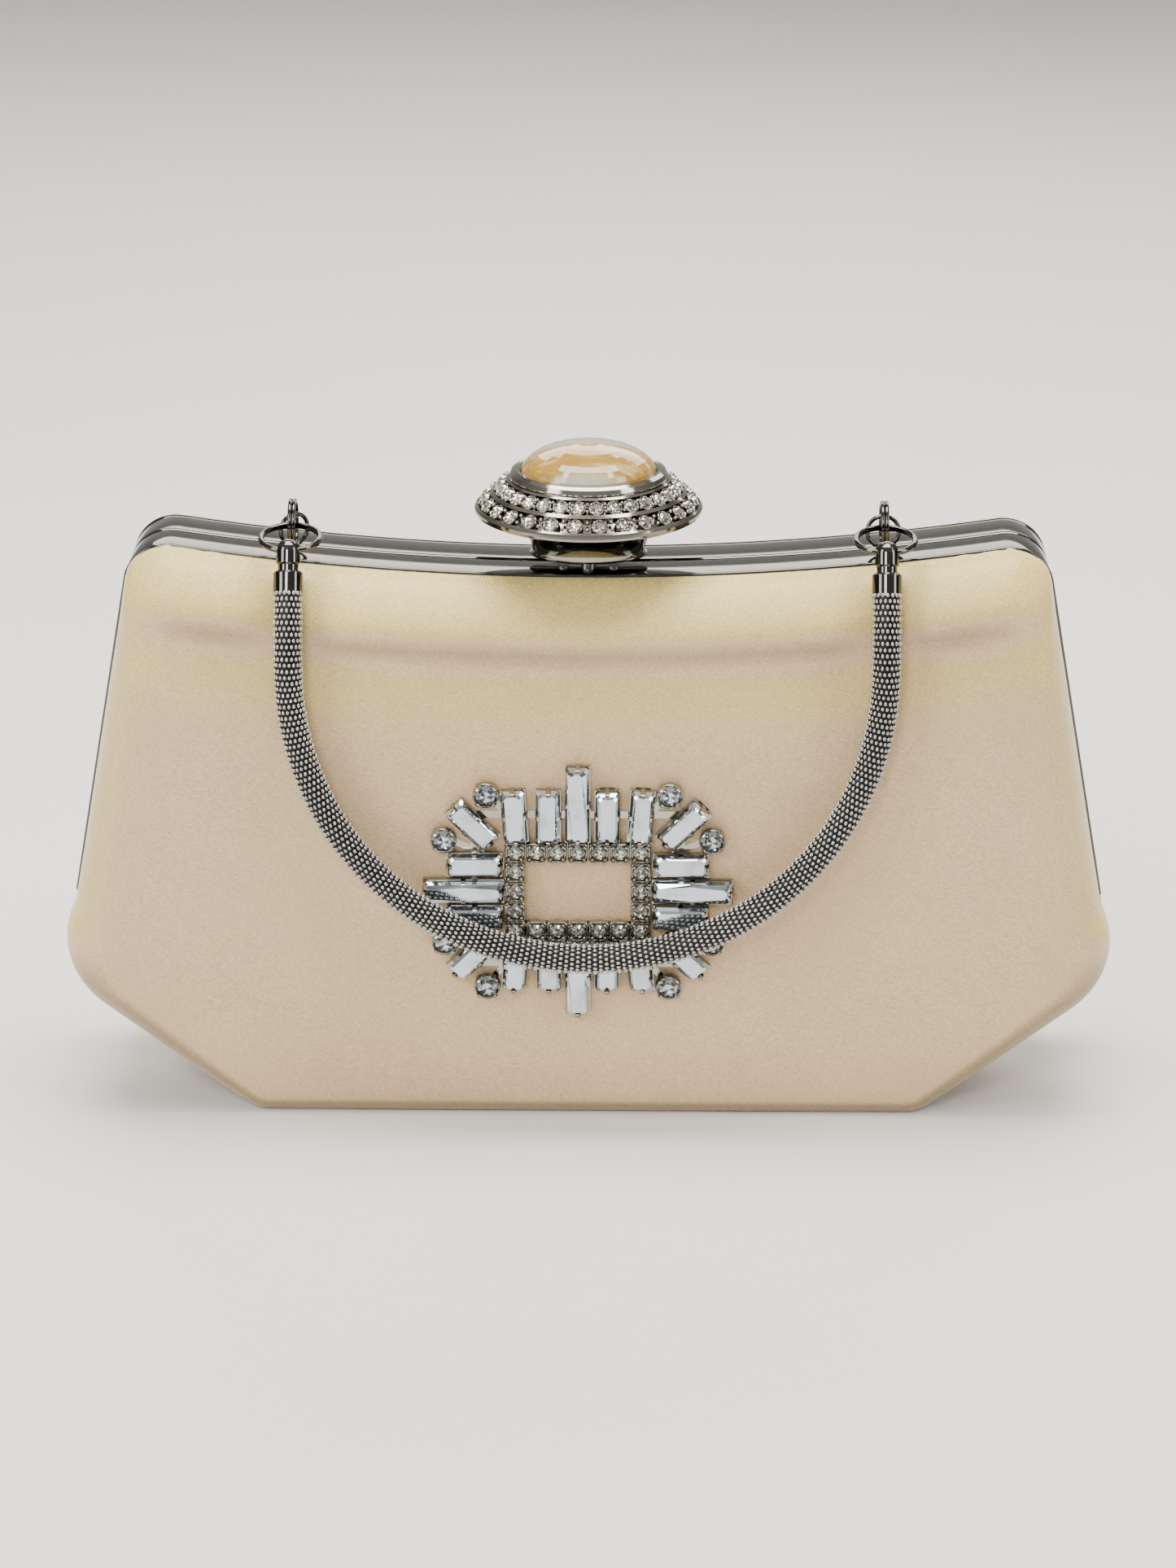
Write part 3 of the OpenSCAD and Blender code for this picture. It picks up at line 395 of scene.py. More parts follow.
class Nodes:
    """A material's node tree with short calls for its nodes and links."""

    def __init__(self, name):
        self.material = bpy.data.materials.new(name)
        self.material.use_nodes = True
        self.tree = self.material.node_tree
        self.shader = self.tree.nodes["Principled BSDF"]

    def set(self, **values):
        """Sets plain values on the shader."""
        for key, value in values.items():
            self.shader.inputs[key.replace("_", " ")].default_value = value
        return self

    def add(self, kind, **inputs):
        """A node with its inputs linked or set, and its settings."""
        node = self.tree.nodes.new(kind)
        for key, value in inputs.items():
            if hasattr(value, "is_output"):
                self.link(value, node.inputs[key])
            elif key in node.inputs:
                node.inputs[key].default_value = value
            else:
                setattr(node, key, value)
        return node

    def link(self, a, b):
        self.tree.links.new(a, b)

    def place(self, scale=(1, 1, 1), turn=(0, 0, 0)):
        """Object coordinates, scaled and turned."""
        coords = self.add("ShaderNodeTexCoord")
        mapping = self.add("ShaderNodeMapping", Vector=coords.outputs["Object"])
        mapping.inputs["Scale"].default_value = scale
        mapping.inputs["Rotation"].default_value = turn
        return mapping.outputs[0]

    def noise(self, vector, scale, detail=3, rough=0.5):
        """Noise at these coordinates."""
        node = self.add("ShaderNodeTexNoise", Vector=vector, Scale=scale, Detail=detail, Roughness=rough)
        return node.outputs["Fac"]

    def ramp(self, value, stops):
        """Colours along a value, as [place, colour] stops."""
        node = self.add("ShaderNodeValToRGB", Fac=value)
        ramp = node.color_ramp
        while len(ramp.elements) < len(stops):
            ramp.elements.new(0.5)
        for element, (at, colour) in zip(ramp.elements, stops):
            element.position = at
            element.color = (*colour, 1) if len(colour) == 3 else colour
        return node.outputs["Color"]

    def range(self, value, low, high):
        """A value from 0 to 1 spread from low to high."""
        node = self.add("ShaderNodeMapRange", Value=value)
        node.inputs["To Min"].default_value = low
        node.inputs["To Max"].default_value = high
        return node.outputs[0]

    def mix(self, factor, a, b):
        """A blend of two colours."""
        node = self.add("ShaderNodeMix", data_type="RGBA")
        for socket, value in (("Factor", factor), ("A", a), ("B", b)):
            ports = [s for s in node.inputs if s.name == socket and (s.type == "RGBA" or socket == "Factor")]
            port = ports[0] if socket == "Factor" else ports[-1]
            if hasattr(value, "is_output"):
                self.link(value, port)
            else:
                port.default_value = value
        return next(s for s in node.outputs if s.type == "RGBA")

    def math(self, operation, *values):
        """A sum or product of links and numbers."""
        node = self.add("ShaderNodeMath", operation=operation)
        for port, value in zip(node.inputs, values):
            if hasattr(value, "is_output"):
                self.link(value, port)
            else:
                port.default_value = value
        return node.outputs[0]

    def share(self, value, low, high):
        """Where a value lies between low and high, from 0 to 1."""
        node = self.add("ShaderNodeMapRange", Value=value)
        node.inputs["From Min"].default_value = low
        node.inputs["From Max"].default_value = high
        return node.outputs[0]

    def tinted(self, factor, colour, tint):
        """A colour multiplied by a tint."""
        node = self.add("ShaderNodeMix", data_type="RGBA", blend_type="MULTIPLY")
        node.inputs["Factor"].default_value = factor
        for port, value in zip([s for s in node.inputs if s.type == "RGBA"], (colour, tint)):
            self.link(value, port)
        return next(s for s in node.outputs if s.type == "RGBA")

    def bump(self, height, strength, distance, after=None):
        """Fine relief on the shader, over an earlier one when given. The distance is in millimetres."""
        node = self.add("ShaderNodeBump", Height=height, Strength=strength, Distance=distance * MM)
        if after is not None:
            self.link(after, node.inputs["Normal"])
        self.link(node.outputs[0], self.shader.inputs["Normal"])
        return node.outputs[0]

    def colour(self, value):
        self.link(value, self.shader.inputs["Base Color"])

    def rough(self, value):
        self.link(value, self.shader.inputs["Roughness"])


def shade(colour, factor):
    """A colour made darker or lighter."""
    return tuple(min(1.0, c * factor) for c in colour)


def satin_cloth(name, colour, gloss=0.36):
    """Satin: a fine diagonal weave with long floats, a soft sheen and faint mottling, with a painted highlight where
    it faces up and painted shade where it faces down.
    """
    n = Nodes(name)
    n.set(Sheen_Weight=0.45, Sheen_Roughness=0.35, Sheen_Tint=(1.0, 0.95, 0.84, 1), Specular_IOR_Level=0.55)
    place = n.place()
    floats = n.add("ShaderNodeTexWave", Vector=n.place(turn=(0, math.radians(38), 0)), Scale=640, Distortion=1.2,
                   Detail=2, bands_direction="X").outputs["Fac"]
    threads = n.noise(n.place(scale=(1, 1, 3.2), turn=(0, math.radians(38), 0)), 1500, 2, 0.6)
    mottle = n.noise(place, 26, 3)
    tone = n.ramp(mottle, [(0.3, shade(colour, 0.95)), (0.7, shade(colour, 1.05))])
    fine = n.ramp(threads, [(0.35, (0.66, 0.66, 0.66)), (0.65, (1.0, 1.0, 1.0))])
    both = n.tinted(0.9, tone, fine)
    # Painted light: the colour turns lighter and yellower where the cloth faces up and darker where it faces down, a
    # painted highlight on the roll and painted shade under it.
    lie = n.add("ShaderNodeTexCoord").outputs["Normal"]
    upward = n.add("ShaderNodeSeparateXYZ", Vector=lie).outputs["Z"]
    painted_highlight_and_shade = n.ramp(n.share(upward, -0.35, 0.65), [
        (0.0, (0.48, 0.465, 0.40)), (0.16, (0.68, 0.665, 0.60)), (0.31, (0.95, 0.94, 0.92)), (0.36, (1, 1, 1)),
        (0.60, (1.0, 1.09, 0.66))])
    n.colour(n.tinted(1.0, both, painted_highlight_and_shade))
    n.rough(n.range(threads, gloss - 0.05, gloss + 0.12))
    first = n.bump(floats, 0.45, 0.08)
    n.bump(threads, 0.6, 0.09, after=first)
    return n.material


def lining_cloth(name, colour):
    """A matt lining with a plain weave."""
    n = Nodes(name)
    n.set(Sheen_Weight=0.2, Sheen_Roughness=0.6, Specular_IOR_Level=0.3)
    across, along = (n.add("ShaderNodeTexWave", Vector=n.place(), Scale=420, Distortion=0.6,
                           bands_direction=way).outputs["Fac"] for way in "XZ")
    weave = n.math("MULTIPLY", across, along)
    n.colour(n.ramp(n.noise(n.place(), 60, 4), [(0.3, shade(colour, 0.88)), (0.7, shade(colour, 1.08))]))
    n.rough(n.range(weave, 0.62, 0.8))
    n.bump(weave, 0.25, 0.08)
    return n.material


def board(name):
    """Moulded board of the shells."""
    n = Nodes(name)
    n.set(Specular_IOR_Level=0.3)
    grain = n.noise(n.place(), 320, 5, 0.6)
    n.colour(n.ramp(grain, [(0.3, (0.16, 0.13, 0.10)), (0.7, (0.27, 0.23, 0.18))]))
    n.rough(n.range(grain, 0.6, 0.85))
    n.bump(grain, 0.3, 0.1)
    return n.material


def polished(name, colour, rough, wear=0.05, tint=0.9):
    """Polished plating: nearly even, with faint wiping marks and a slightly warmer tone where it is worn."""
    n = Nodes(name)
    n.set(Metallic=1.0)
    clouds = n.noise(n.place(), 45, 4)
    wipes = n.noise(n.place(scale=(1, 6, 1)), 700, 3, 0.7)
    n.colour(n.ramp(clouds, [(0.25, shade(colour, tint)), (0.6, colour), (0.85, shade(colour, 1.08))]))
    n.rough(n.range(wipes, max(0.02, rough - wear / 2), rough + wear))
    n.bump(wipes, 0.04, 0.02)
    return n.material


def brushed(name):
    """Plain pressed steel with a drawn grain."""
    n = Nodes(name)
    n.set(Metallic=1.0, Anisotropic=0.4)
    grain = n.noise(n.place(scale=(1, 1, 18)), 900, 4, 0.7)
    n.colour(n.ramp(grain, [(0.3, (0.30, 0.30, 0.30)), (0.7, (0.46, 0.46, 0.45))]))
    n.rough(n.range(grain, 0.24, 0.42))
    n.bump(grain, 0.12, 0.03)
    return n.material


def crystal(name, colour, foil):
    """Foiled cut glass: bright mirror facets under a hard clear coat."""
    n = Nodes(name)
    n.set(Metallic=foil, Coat_Weight=1.0, Coat_Roughness=0.01, Coat_IOR=1.6)
    clouds = n.noise(n.place(), 210, 2)
    n.colour(n.ramp(clouds, [(0.25, shade(colour, 0.6)), (0.5, colour), (0.75, shade(colour, 1.1))]))
    n.rough(n.range(clouds, 0.02, 0.06))
    return n.material


def banded_resin(name, cream, ochre):
    """The cabochon: ochre streaks across a milky body, pale at the front and the back, under a high gloss."""
    n = Nodes(name)
    n.set(Coat_Weight=0.5, Coat_Roughness=0.02, Coat_IOR=1.45, Specular_IOR_Level=0.35)
    place = n.place(scale=(0.12, 1, 1))
    wobble = n.noise(place, 380, 4, 0.55)
    broad = n.noise(n.place(scale=(0.25, 1, 1)), 95, 2)
    streaks = n.ramp(wobble, [(0.34, shade(cream, 1.12)), (0.47, shade(ochre, 1.15)), (0.60, ochre), (0.72, cream)])
    split = n.add("ShaderNodeSeparateXYZ", Vector=n.place())
    middle = cad_span("cabochon", 1)
    centre = (middle[0] + middle[1]) / 2 * MM
    away = n.math("ABSOLUTE", n.math("SUBTRACT", split.outputs["Y"], centre - 0.0062))
    soft = n.math("MULTIPLY_ADD", broad, 0.5, n.share(away, 0.0045, 0.0085))
    faded = n.range(soft, -0.35, 0.95)
    n.colour(n.mix(faded, streaks, (0.40, 0.40, 0.31, 1)))
    n.rough(n.range(wobble, 0.05, 0.09))
    return n.material


MATERIALS = {}


def finish_of(name):
    """A material of the bag, made when it is first asked for."""
    if name not in MATERIALS:
        scene = bpy.context.scene
        body, metal, stones = scene.bag_body, scene.bag_metal, scene.bag_stones
        makers = {
            "satin": lambda: satin_cloth("champagne_satin", tuple(body.satin)),
            "lining": lambda: lining_cloth("champagne_lining", tuple(body.lining)),
            "shell_board": lambda: board("moulded_board"),
            "polished_metal": lambda: polished("polished_plating", tuple(metal.plating), metal.polish),
            "knob_metal": lambda: polished("knob_plating", (0.30, 0.29, 0.25), 0.08, wear=0.08, tint=0.82),
            "setting_metal": lambda: polished("setting_plating", (0.40, 0.39, 0.335), 0.11, wear=0.08, tint=0.75),
            "snake_mesh": lambda: polished("bead_mesh", (0.46, 0.455, 0.44), 0.07, wear=0.05, tint=0.8),
            # Near-black core of the snake tube: painted shade in the gaps between the beads.
            "painted_shade_core": lambda: polished("painted_shade_core", (0.03, 0.03, 0.03), 0.4, wear=0.1),
            "latch_steel": lambda: brushed("pressed_steel"),
            "crystal": lambda: crystal("foiled_crystal", tuple(stones.crystal), 0.94),
            "smoked": lambda: crystal("smoked_crystal", tuple(stones.smoked), 0.9),
            "cabochon_resin": lambda: banded_resin("banded_resin", tuple(stones.cream), tuple(stones.ochre)),
        }
        MATERIALS[name] = makers[name]()
    return MATERIALS[name]


def keep_cad(node, finish):
    """A CAD node that stays as it is gets its material and smooth shading."""
    mesh = frame["nodes"][node].data
    mesh.materials.clear()
    mesh.materials.append(finish_of(finish))
    mesh.shade_smooth()
    mesh.set_sharp_from_angle(angle=math.radians(28))


# ---------------------------------------------------------------- the bag's two halves


def settle_satin(rings, size, seed):
    """The padded cloth: a slight bulge, a dent round the brooch, a roll under the frame with a hollow below it,
    gathers at the top corners and a faint unevenness."""
    # Each gather is [distance from the first, half width]
    gathers = [(0.0, 1.7), (4.2, 1.2), (-4.8, 1.1), (9.5, 0.9)]
    gather_x, gather_long, gather_lean = 82.5, 26, 7
    tube_x, beside_tube_width = 61, 8
    roll_under, hollow_under = 9.5, 19
    low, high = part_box("brooch_plate")
    dent = (low + high) / 2 / MM
    out = []
    for ring in rings:
        p = ring.copy()
        x, y, z = p[:, 0], p[:, 1], p[:, 2]
        reach = np.clip((-y - FRAME_DEPTH) / (HALF_DEPTH - FRAME_DEPTH), 0, 1)
        middle = np.clip(1 - (x / 104) ** 2, 0, 1) * np.clip(1 - ((z - 50) / 52) ** 2, 0, 1)
        pressed = np.exp(-(((x - dent.x) / 38) ** 4 + ((z - dent.z) / 31) ** 4))
        lift = size.bulge * middle ** 0.7 * (reach > 0.9) * (1 - pressed)
        under = (size.corner_height - size.top_dip * (1 - (x / (size.top_width / 2)) ** 2)) - z
        sides = np.clip((size.top_width / 2 + 10 - np.abs(x)) / 26, 0, 1)
        beside_tube = 1 - 0.92 * np.exp(-(((np.abs(x) - tube_x) / beside_tube_width) ** 2))
        lift = lift + size.roll * sides * beside_tube * np.exp(-(((under - roll_under) / 5.0) ** 2))
        lift = lift - 0.55 * size.roll * sides * np.exp(-(((under - hollow_under) / 7.0) ** 2))
        for side in (-1, 1):
            for shift, width in gathers:
                along = np.clip((TOP_Z - 1 - z) / gather_long, 0, 1)
                line = side * (gather_x + shift * (1 + 0.5 * along) + gather_lean * along)
                ridge = np.exp(-(((x - line) / (width * (0.7 + 1.6 * along))) ** 2))
                free = (z > size.wide_height + 40) * (np.abs(y) > FRAME_DEPTH + 0.15)
                fade = np.clip(1 - along, 0, 1) ** 1.5 * free
                lift = lift + size.gather * ridge * fade
        rough = np.array([noise.noise(Vector((a * 0.03, b * 0.05, c * 0.03 + seed))) for a, b, c in p])
        fine = np.array([noise.noise(Vector((a * 0.11, b * 0.1 + seed, c * 0.11))) for a, b, c in p])
        lift = lift + (0.22 * rough + 0.05 * fine) * reach
        p[:, 1] -= lift * np.clip(reach * 1.2, 0, 1)
        p[:, 2] += lift * 0.5 * (1 - reach) * (z > size.corner_height - size.roll_height)
        out.append(p)
    return out


class BAG_OT_satin(bpy.types.Operator):
    """Builds the padded satin over both halves"""

    bl_idname = "bag.satin"
    bl_label = "Satin covers"

    def execute(self, context):
        size = context.scene.bag_body
        shape = Shape(size)
        angles = np.radians(np.linspace(0, 90, 17))
        for name, node, body, back in (("satin_front", "front_cover", FRONT, False),
                                       ("satin_back", "back_cover", BACK, True)):
            rings = shape.skin(0, FRAME_DEPTH - 1.4, angles, 4, 16)
            rings = settle_satin(rings, size, 3.0 if back else 0.0)
            piece = skin_piece(name, rings, finish_of("satin"), mirror_y=back)
            thicken(piece, 0.6)
            settle_on(piece, body, "satin", node)
        return {"FINISHED"}


class BAG_OT_lining(bpy.types.Operator):
    """Builds the lining inside both halves and gives the shells their board"""

    bl_idname = "bag.lining"
    bl_label = "Linings and shells"

    def execute(self, context):
        shape = Shape(context.scene.bag_body)
        angles = np.radians(np.linspace(0, 90, 9))
        for name, node, body, back in (("lining_front", "front_lining", FRONT, False),
                                       ("lining_back", "back_lining", BACK, True)):
            rings = shape.skin(2.3, FRAME_DEPTH - 2.2, angles, 2, 10)
            piece = skin_piece(name, rings, finish_of("lining"), mirror_y=back)
            thicken(piece, 0.45)
            settle_on(piece, body, "lining", node)
        for node in ("front_shell", "back_shell"):
            keep_cad(node, "shell_board")
        return {"FINISHED"}


class BAG_OT_gussets(bpy.types.Operator):
    """Builds the satin that closes the bottom and the pleated cloth inside the sides"""

    bl_idname = "bag.gussets"
    bl_label = "Gussets"

    def execute(self, context):
        shape = Shape(context.scene.bag_body)
        self.bottom(shape)
        for side in (-1, 1):
            self.pleat(shape, side)
        return {"FINISHED"}

    def bottom(self, shape):
        """A band from leg to leg, folded inwards along its middle."""
        tuck, steps = FRAME_DEPTH - 1.4, 13
        outline, inner = shape.body(0.45), shape.body(4.0)
        top = HINGE_Z + 0.2
        n = len(outline)
        last = next(i for i in range(n) if outline[i][1] > top)
        run = [(i + n) % n for i in range(-last, last + 1)]
        points = []
        for i in run:
            w = float(shape.rim_depth(outline[i][1], tuck)) - 0.12
            fold = min(1.0, w / 9) * 0.8
            for t in np.linspace(-1, 1, steps):
                inwards = fold * (1 - abs(t)) ** 1.3
                q = outline[i] * (1 - inwards) + inner[i] * inwards
                points.append((q[0], w * t, q[1]))
        piece = new_piece("bottom_gusset_satin", points, grid_faces(len(run), steps), [finish_of("satin")],
                          sharp_deg=80)
        width = 2 * float(shape.rim_depth(0, tuck)) + 3
        thicken(piece, 0.4, offset=0)
        edge = float(shape.rim_depth(0, tuck)) * 0.9 * MM
        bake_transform(piece)
        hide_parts("bottom_gusset")

    def pleat(self, shape, side):
        """A cloth wall from one lining to the other with a pleat that points into the bag."""
        node = "side_gusset_right" if side > 0 else "side_gusset_left"
        low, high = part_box(node)
        x_high = max(abs(low.x), abs(high.x)) / MM
        z_low, z_high = low.z / MM, high.z / MM
        half = high.y / MM
        rows, steps = 24, 15
        pleat_in, wave = 11.0, 0.35
        points = []
        for r in range(rows):
            z = z_low + (z_high - z_low) * r / (rows - 1)
            wall = x_high - (z - z_low) * shape.slope
            for t in np.linspace(-1, 1, steps):
                soft = wave * math.sin(z * 0.5 + 3 * t) * (1 - t * t)
                points.append((side * (wall - pleat_in * (1 - abs(t) ** 1.25) + soft), half * t, z))
        piece = new_piece("side_pleat_right" if side > 0 else "side_pleat_left", points,
                          grid_faces(rows, steps), [finish_of("lining")], sharp_deg=80)
        thicken(piece, 0.4, offset=0)
        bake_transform(piece)
        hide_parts(node)


# ---------------------------------------------------------------- frame


def frame_section(lip, flange):
    """The half frame's section as [outwards, depth]: a rolled front lip, a flat web and a rounded seam edge."""
    t, gap = 1.0, 0.15
    front = [(0.0, FRAME_DEPTH - 1.1), (-0.05, FRAME_DEPTH - 0.9)]
    roll = [(-0.32 + lip * math.cos(math.radians(a)), FRAME_DEPTH - lip + lip * math.sin(math.radians(a)))
            for a in np.linspace(-30, 200, 12)]
    under = [(-t, FRAME_DEPTH - lip - 0.2), (-t, gap + 1.2), (-flange, gap + 1.2), (-flange, gap)]
    seam = [(-1.1 + 1.1 * math.sin(math.radians(a)), gap + 1.1 - 1.1 * math.cos(math.radians(a)))
            for a in np.linspace(0, 90, 8)]
    return front + roll + under + seam


class BAG_OT_frame(bpy.types.Operator):
    """Sweeps the two polished half frames and their hinge ears"""

    bl_idname = "bag.frame"
    bl_label = "Half frames"

    def execute(self, context):
        shape = Shape(context.scene.bag_body)
        lip = context.scene.bag_metal.lip
        for name, node, body, back in (("frame_front", "front_frame", FRONT, False),
                                       ("frame_back", "back_frame", BACK, True)):
            points, faces = self.strip(shape, lip)
            ears, ear_faces = self.ears(back)
            faces = faces + shifted(ear_faces, len(points))
            points = np.concatenate([points * ([1, -1, 1] if back else [1, 1, 1]), ears])
            piece = new_piece(name, points, faces, [finish_of("polished_metal")], sharp_deg=32)
            settle_on(facing_out(piece), body, "polished_metal", node)
        return {"FINISHED"}

    def strip(self, shape, lip):
        """The strip from one leg's end over the top to the other."""
        outline = shape.body(0)
        first = next(i for i in range(len(outline)) if outline[i][1] > HINGE_Z + 0.3)
        path = outline[first:len(outline) - first + 1]
        ahead, behind = np.roll(path, -1, 0), np.roll(path, 1, 0)
        ahead[-1], behind[0] = path[-1], path[0]
        d = ahead - behind
        d /= np.linalg.norm(d, axis=1)[:, None]
        normal = np.stack([d[:, 1], -d[:, 0]], 1)
        points = []
        for p, n in zip(path, normal):
            rise = np.clip((p[1] - HINGE_Z - 11.5) / 2, 0, 1)
            for u, y in frame_section(lip, 1.05 + 2.35 * rise):
                points.append((p[0] + n[0] * u, -y, p[1] + n[1] * u))
        m = len(frame_section(lip, 3.4))
        return np.array(points), grid_faces(len(path), m, closed_cols=True) + end_faces(len(path), m)

    def ears(self, back):
        """Flat ears that lap over each other on the hinge line."""
        ear_r, ear_thick = 3.4, 1.0
        outer_x = cad_span("hinge_rivet_right", 0)[1] - 1.7
        x0 = outer_x - 1.1 if back else outer_x
        s = 1 if back else -1
        top = HINGE_Z + (16.0 if back else 10.4)
        ring = [(ear_r * math.sin(math.radians(a)), HINGE_Z - ear_r * math.cos(math.radians(a)))
                for a in np.linspace(-110, 150, 22)]
        arm = [(s * 2.4, top), (s * 7.2, top)]
        shape2d = [(s * y, z) for y, z in ring] + arm
        points, faces = [], []
        for side in (-1, 1):
            start = len(points)
            k = len(shape2d)
            for x in (x0, x0 + ear_thick):
                points += [(side * x, y, z) for y, z in shape2d]
            faces += shifted(end_faces(2, k), start)
            faces += [(start + i, start + k + i, start + k + (i + 1) % k, start + (i + 1) % k) for i in range(k)]
        return np.array(points), faces


# ---------------------------------------------------------------- knob


class BAG_OT_knob(bpy.types.Operator):
    """Builds the knob's flared stem and its stones, and polishes its turned pieces"""

    bl_idname = "bag.knob"
    bl_label = "Push knob"

    def execute(self, context):
        self.stem()
        for node in ("knob_head", "knob_bezel"):
            keep_cad(node, "knob_metal")
        keep_cad("cabochon", "cabochon_resin")
        self.stones()
        return {"FINISHED"}

    def stem(self):
        """An oval foot that flares into the round head."""
        low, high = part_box("knob_stem")
        z0, cy = low.z / MM, (low.y + high.y) / 2 / MM
        tall = high.z / MM - z0
        rings = [(0, 11.6, 7.3), (0.15, 12.0, 7.7), (0.4, 12.25, 7.95), (0.8, 12.2, 7.95)]
        for t in np.linspace(0.15, 1, 14):
            flare = t ** 2.6
            rings.append((tall * t, 11.7 + 6.0 * flare, 7.9 + 9.5 * flare))
        sides = 96
        points = [(w * math.cos(a), cy + d * math.sin(a), z0 + h) for h, w, d in rings
                  for a in np.linspace(0, 2 * math.pi, sides, endpoint=False)]
        faces = grid_faces(len(rings), sides, closed_cols=True) + end_faces(len(rings), sides)
        piece = facing_out(new_piece("knob_stem_flared", points, faces, [finish_of("knob_metal")], sharp_deg=50))
        settle_on(piece, KNOB, "polished_metal", "knob_stem")

    def stones(self):
        """Two rings of round stones with small beads between them."""
        low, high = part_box("knob_head")
        axis = Vector((0, (low.y + high.y) / 2 / MM, 0))
        rings = {node: [Vector(s.mean(0)) for s in solids_of(node)]
                 for node in ("knob_stones_lower", "knob_stones_upper")}
        flat = {node: ((centres[0] - axis).xy.length, centres[0].z) for node, centres in rings.items()}
        (r0, z0), (r1, z1) = flat["knob_stones_lower"], flat["knob_stones_upper"]
        out = Vector((z1 - z0, r0 - r1)).normalized()
        stone_r, stone_high, sunk = 1.38, 1.7, 0.55
        bead_size, bead_off = (0.42, 0.42, 0.5), 0.85
        for node, centres in rings.items():
            stones, beads = [], []
            for c in centres:
                radial = Vector((c.x, c.y - axis.y, 0)).normalized()
                up = radial * out.x + Vector((0, 0, out.y))
                stones.append(placement(c - up * sunk, radial.cross(Vector((0, 0, 1))), up))
            points, faces = scatter(brilliant(stone_r, stone_high), stones)
            piece = new_piece(node + "_cut", points, faces, [finish_of("smoked")], smooth=False)
            settle_on(piece, KNOB, "crystal", node)
            raised = [p @ Matrix.Translation((0, 0, 0.25)) for p in stones]
            points, faces = scatter(collar(16, 1.72, 0.36, 0.55), raised)
            piece = new_piece(node.replace("stones", "rims"), points, faces, [finish_of("knob_metal")], sharp_deg=80)
            settle_on(facing_out(piece), KNOB, "polished_metal")
            order = sorted(centres, key=lambda c: math.atan2(c.y - axis.y, c.x))
            slope = Vector((r1 - r0, z1 - z0)).normalized()
            for a, b in zip(order, order[1:] + order[:1]):
                m = (a + b) / 2
                radial = Vector((m.x, m.y - axis.y, 0)).normalized()
                centre = axis + radial * (a - axis).xy.length + Vector((0, 0, a.z))
                up = radial * out.x + Vector((0, 0, out.y))
                along = radial * slope.x + Vector((0, 0, slope.y))
                for s in (-bead_off, bead_off):
                    beads.append(placement(centre + along * s + up * 0.05, along, up, bead_size))
            points, faces = scatter(bead(8, 5), beads)
            piece = new_piece(node.replace("stones", "beads"), points, faces, [finish_of("knob_metal")], sharp_deg=80)
            settle_on(piece, KNOB, "polished_metal")


# ---------------------------------------------------------------- stones


def brilliant(r, h):
    """A round brilliant: kite facets round a table whose star facets tilt in turn."""
    sides = 8
    points = [(0, 0, -0.35 * h), (0, 0, 0.62 * h)]
    for k in range(2 * sides):
        a = math.pi * k / sides
        points.append((r * math.cos(a), r * math.sin(a), 0.18 * h))
    for k in range(2 * sides):
        a = math.pi * k / sides
        rr = r * (0.80 if k % 2 else 0.74)
        points.append((rr * math.cos(a), rr * math.sin(a), (0.46 if k % 2 else 0.40) * h))
    for k in range(sides):
        a = 2 * math.pi * k / sides + math.pi / sides
        points.append((0.5 * r * math.cos(a), 0.5 * r * math.sin(a), (0.72 if k % 2 else 0.60) * h))
    girdle, crown, table = 2, 2 + 2 * sides, 2 + 4 * sides
    faces = []
    for k in range(2 * sides):
        j = (k + 1) % (2 * sides)
        faces += [(0, girdle + j, girdle + k), (girdle + k, girdle + j, crown + j),
                  (girdle + k, crown + j, crown + k)]
    for k in range(sides):
        j = (k + 1) % sides
        mid = crown + 2 * k + 1
        after = crown + (2 * k + 2) % (2 * sides)
        faces += [(crown + 2 * k, mid, table + k), (mid, after, table + k), (after, table + j, table + k),
                  (table + k, table + j, 1)]
    return points, faces


def step_cut(l, w, h, taper=0.0):
    """A baguette: a narrow foot in its cup, a girdle over the cup's rim, two steps and a long table."""
    levels = [(0, 0.55), (0.28 * h, 0.42), (0.36 * h, 0), (0.50 * h, 0), (0.82 * h, 0.10 * w), (h, 0.19 * w)]
    points = []
    for k, (z, d) in enumerate(levels):
        narrow = taper if k == len(levels) - 1 else 0
        x, y = l / 2 - d, w / 2 - d
        cut = 0.10 * w
        points += [(a, b, z) for a, b in (
            (x - cut, -y + narrow), (x, -y + cut + narrow), (x, y - cut - narrow), (x - cut, y - narrow), (0, y),
            (-x + cut, y - narrow), (-x, y - cut - narrow), (-x, -y + cut + narrow), (-x + cut, -y + narrow),
            (0, -y))]
    m = 10
    faces = [tuple(reversed(range(m)))]
    for r in range(len(levels) - 1):
        for k in range(m):
            j = (k + 1) % m
            faces.append((r * m + k, r * m + j, (r + 1) * m + j, (r + 1) * m + k))
    faces.append(tuple((len(levels) - 1) * m + k for k in range(m)))
    return points, faces


def collar(around, r, thick, high, square=False):
    """A thin round or square wall that stands round a stone."""
    points = []
    for level, radius in ((0, r), (high - 0.15, r), (high, r - thick / 2), (high - 0.15, r - thick), (0, r - thick)):
        for k in range(around):
            a = 2 * math.pi * k / around + math.pi / around
            reach = min(1 / max(abs(math.cos(a)), abs(math.sin(a))), 1.3) if square else 1
            points.append((radius * reach * math.cos(a), radius * reach * math.sin(a), level))
    return points, grid_faces(5, around, closed_cols=True)


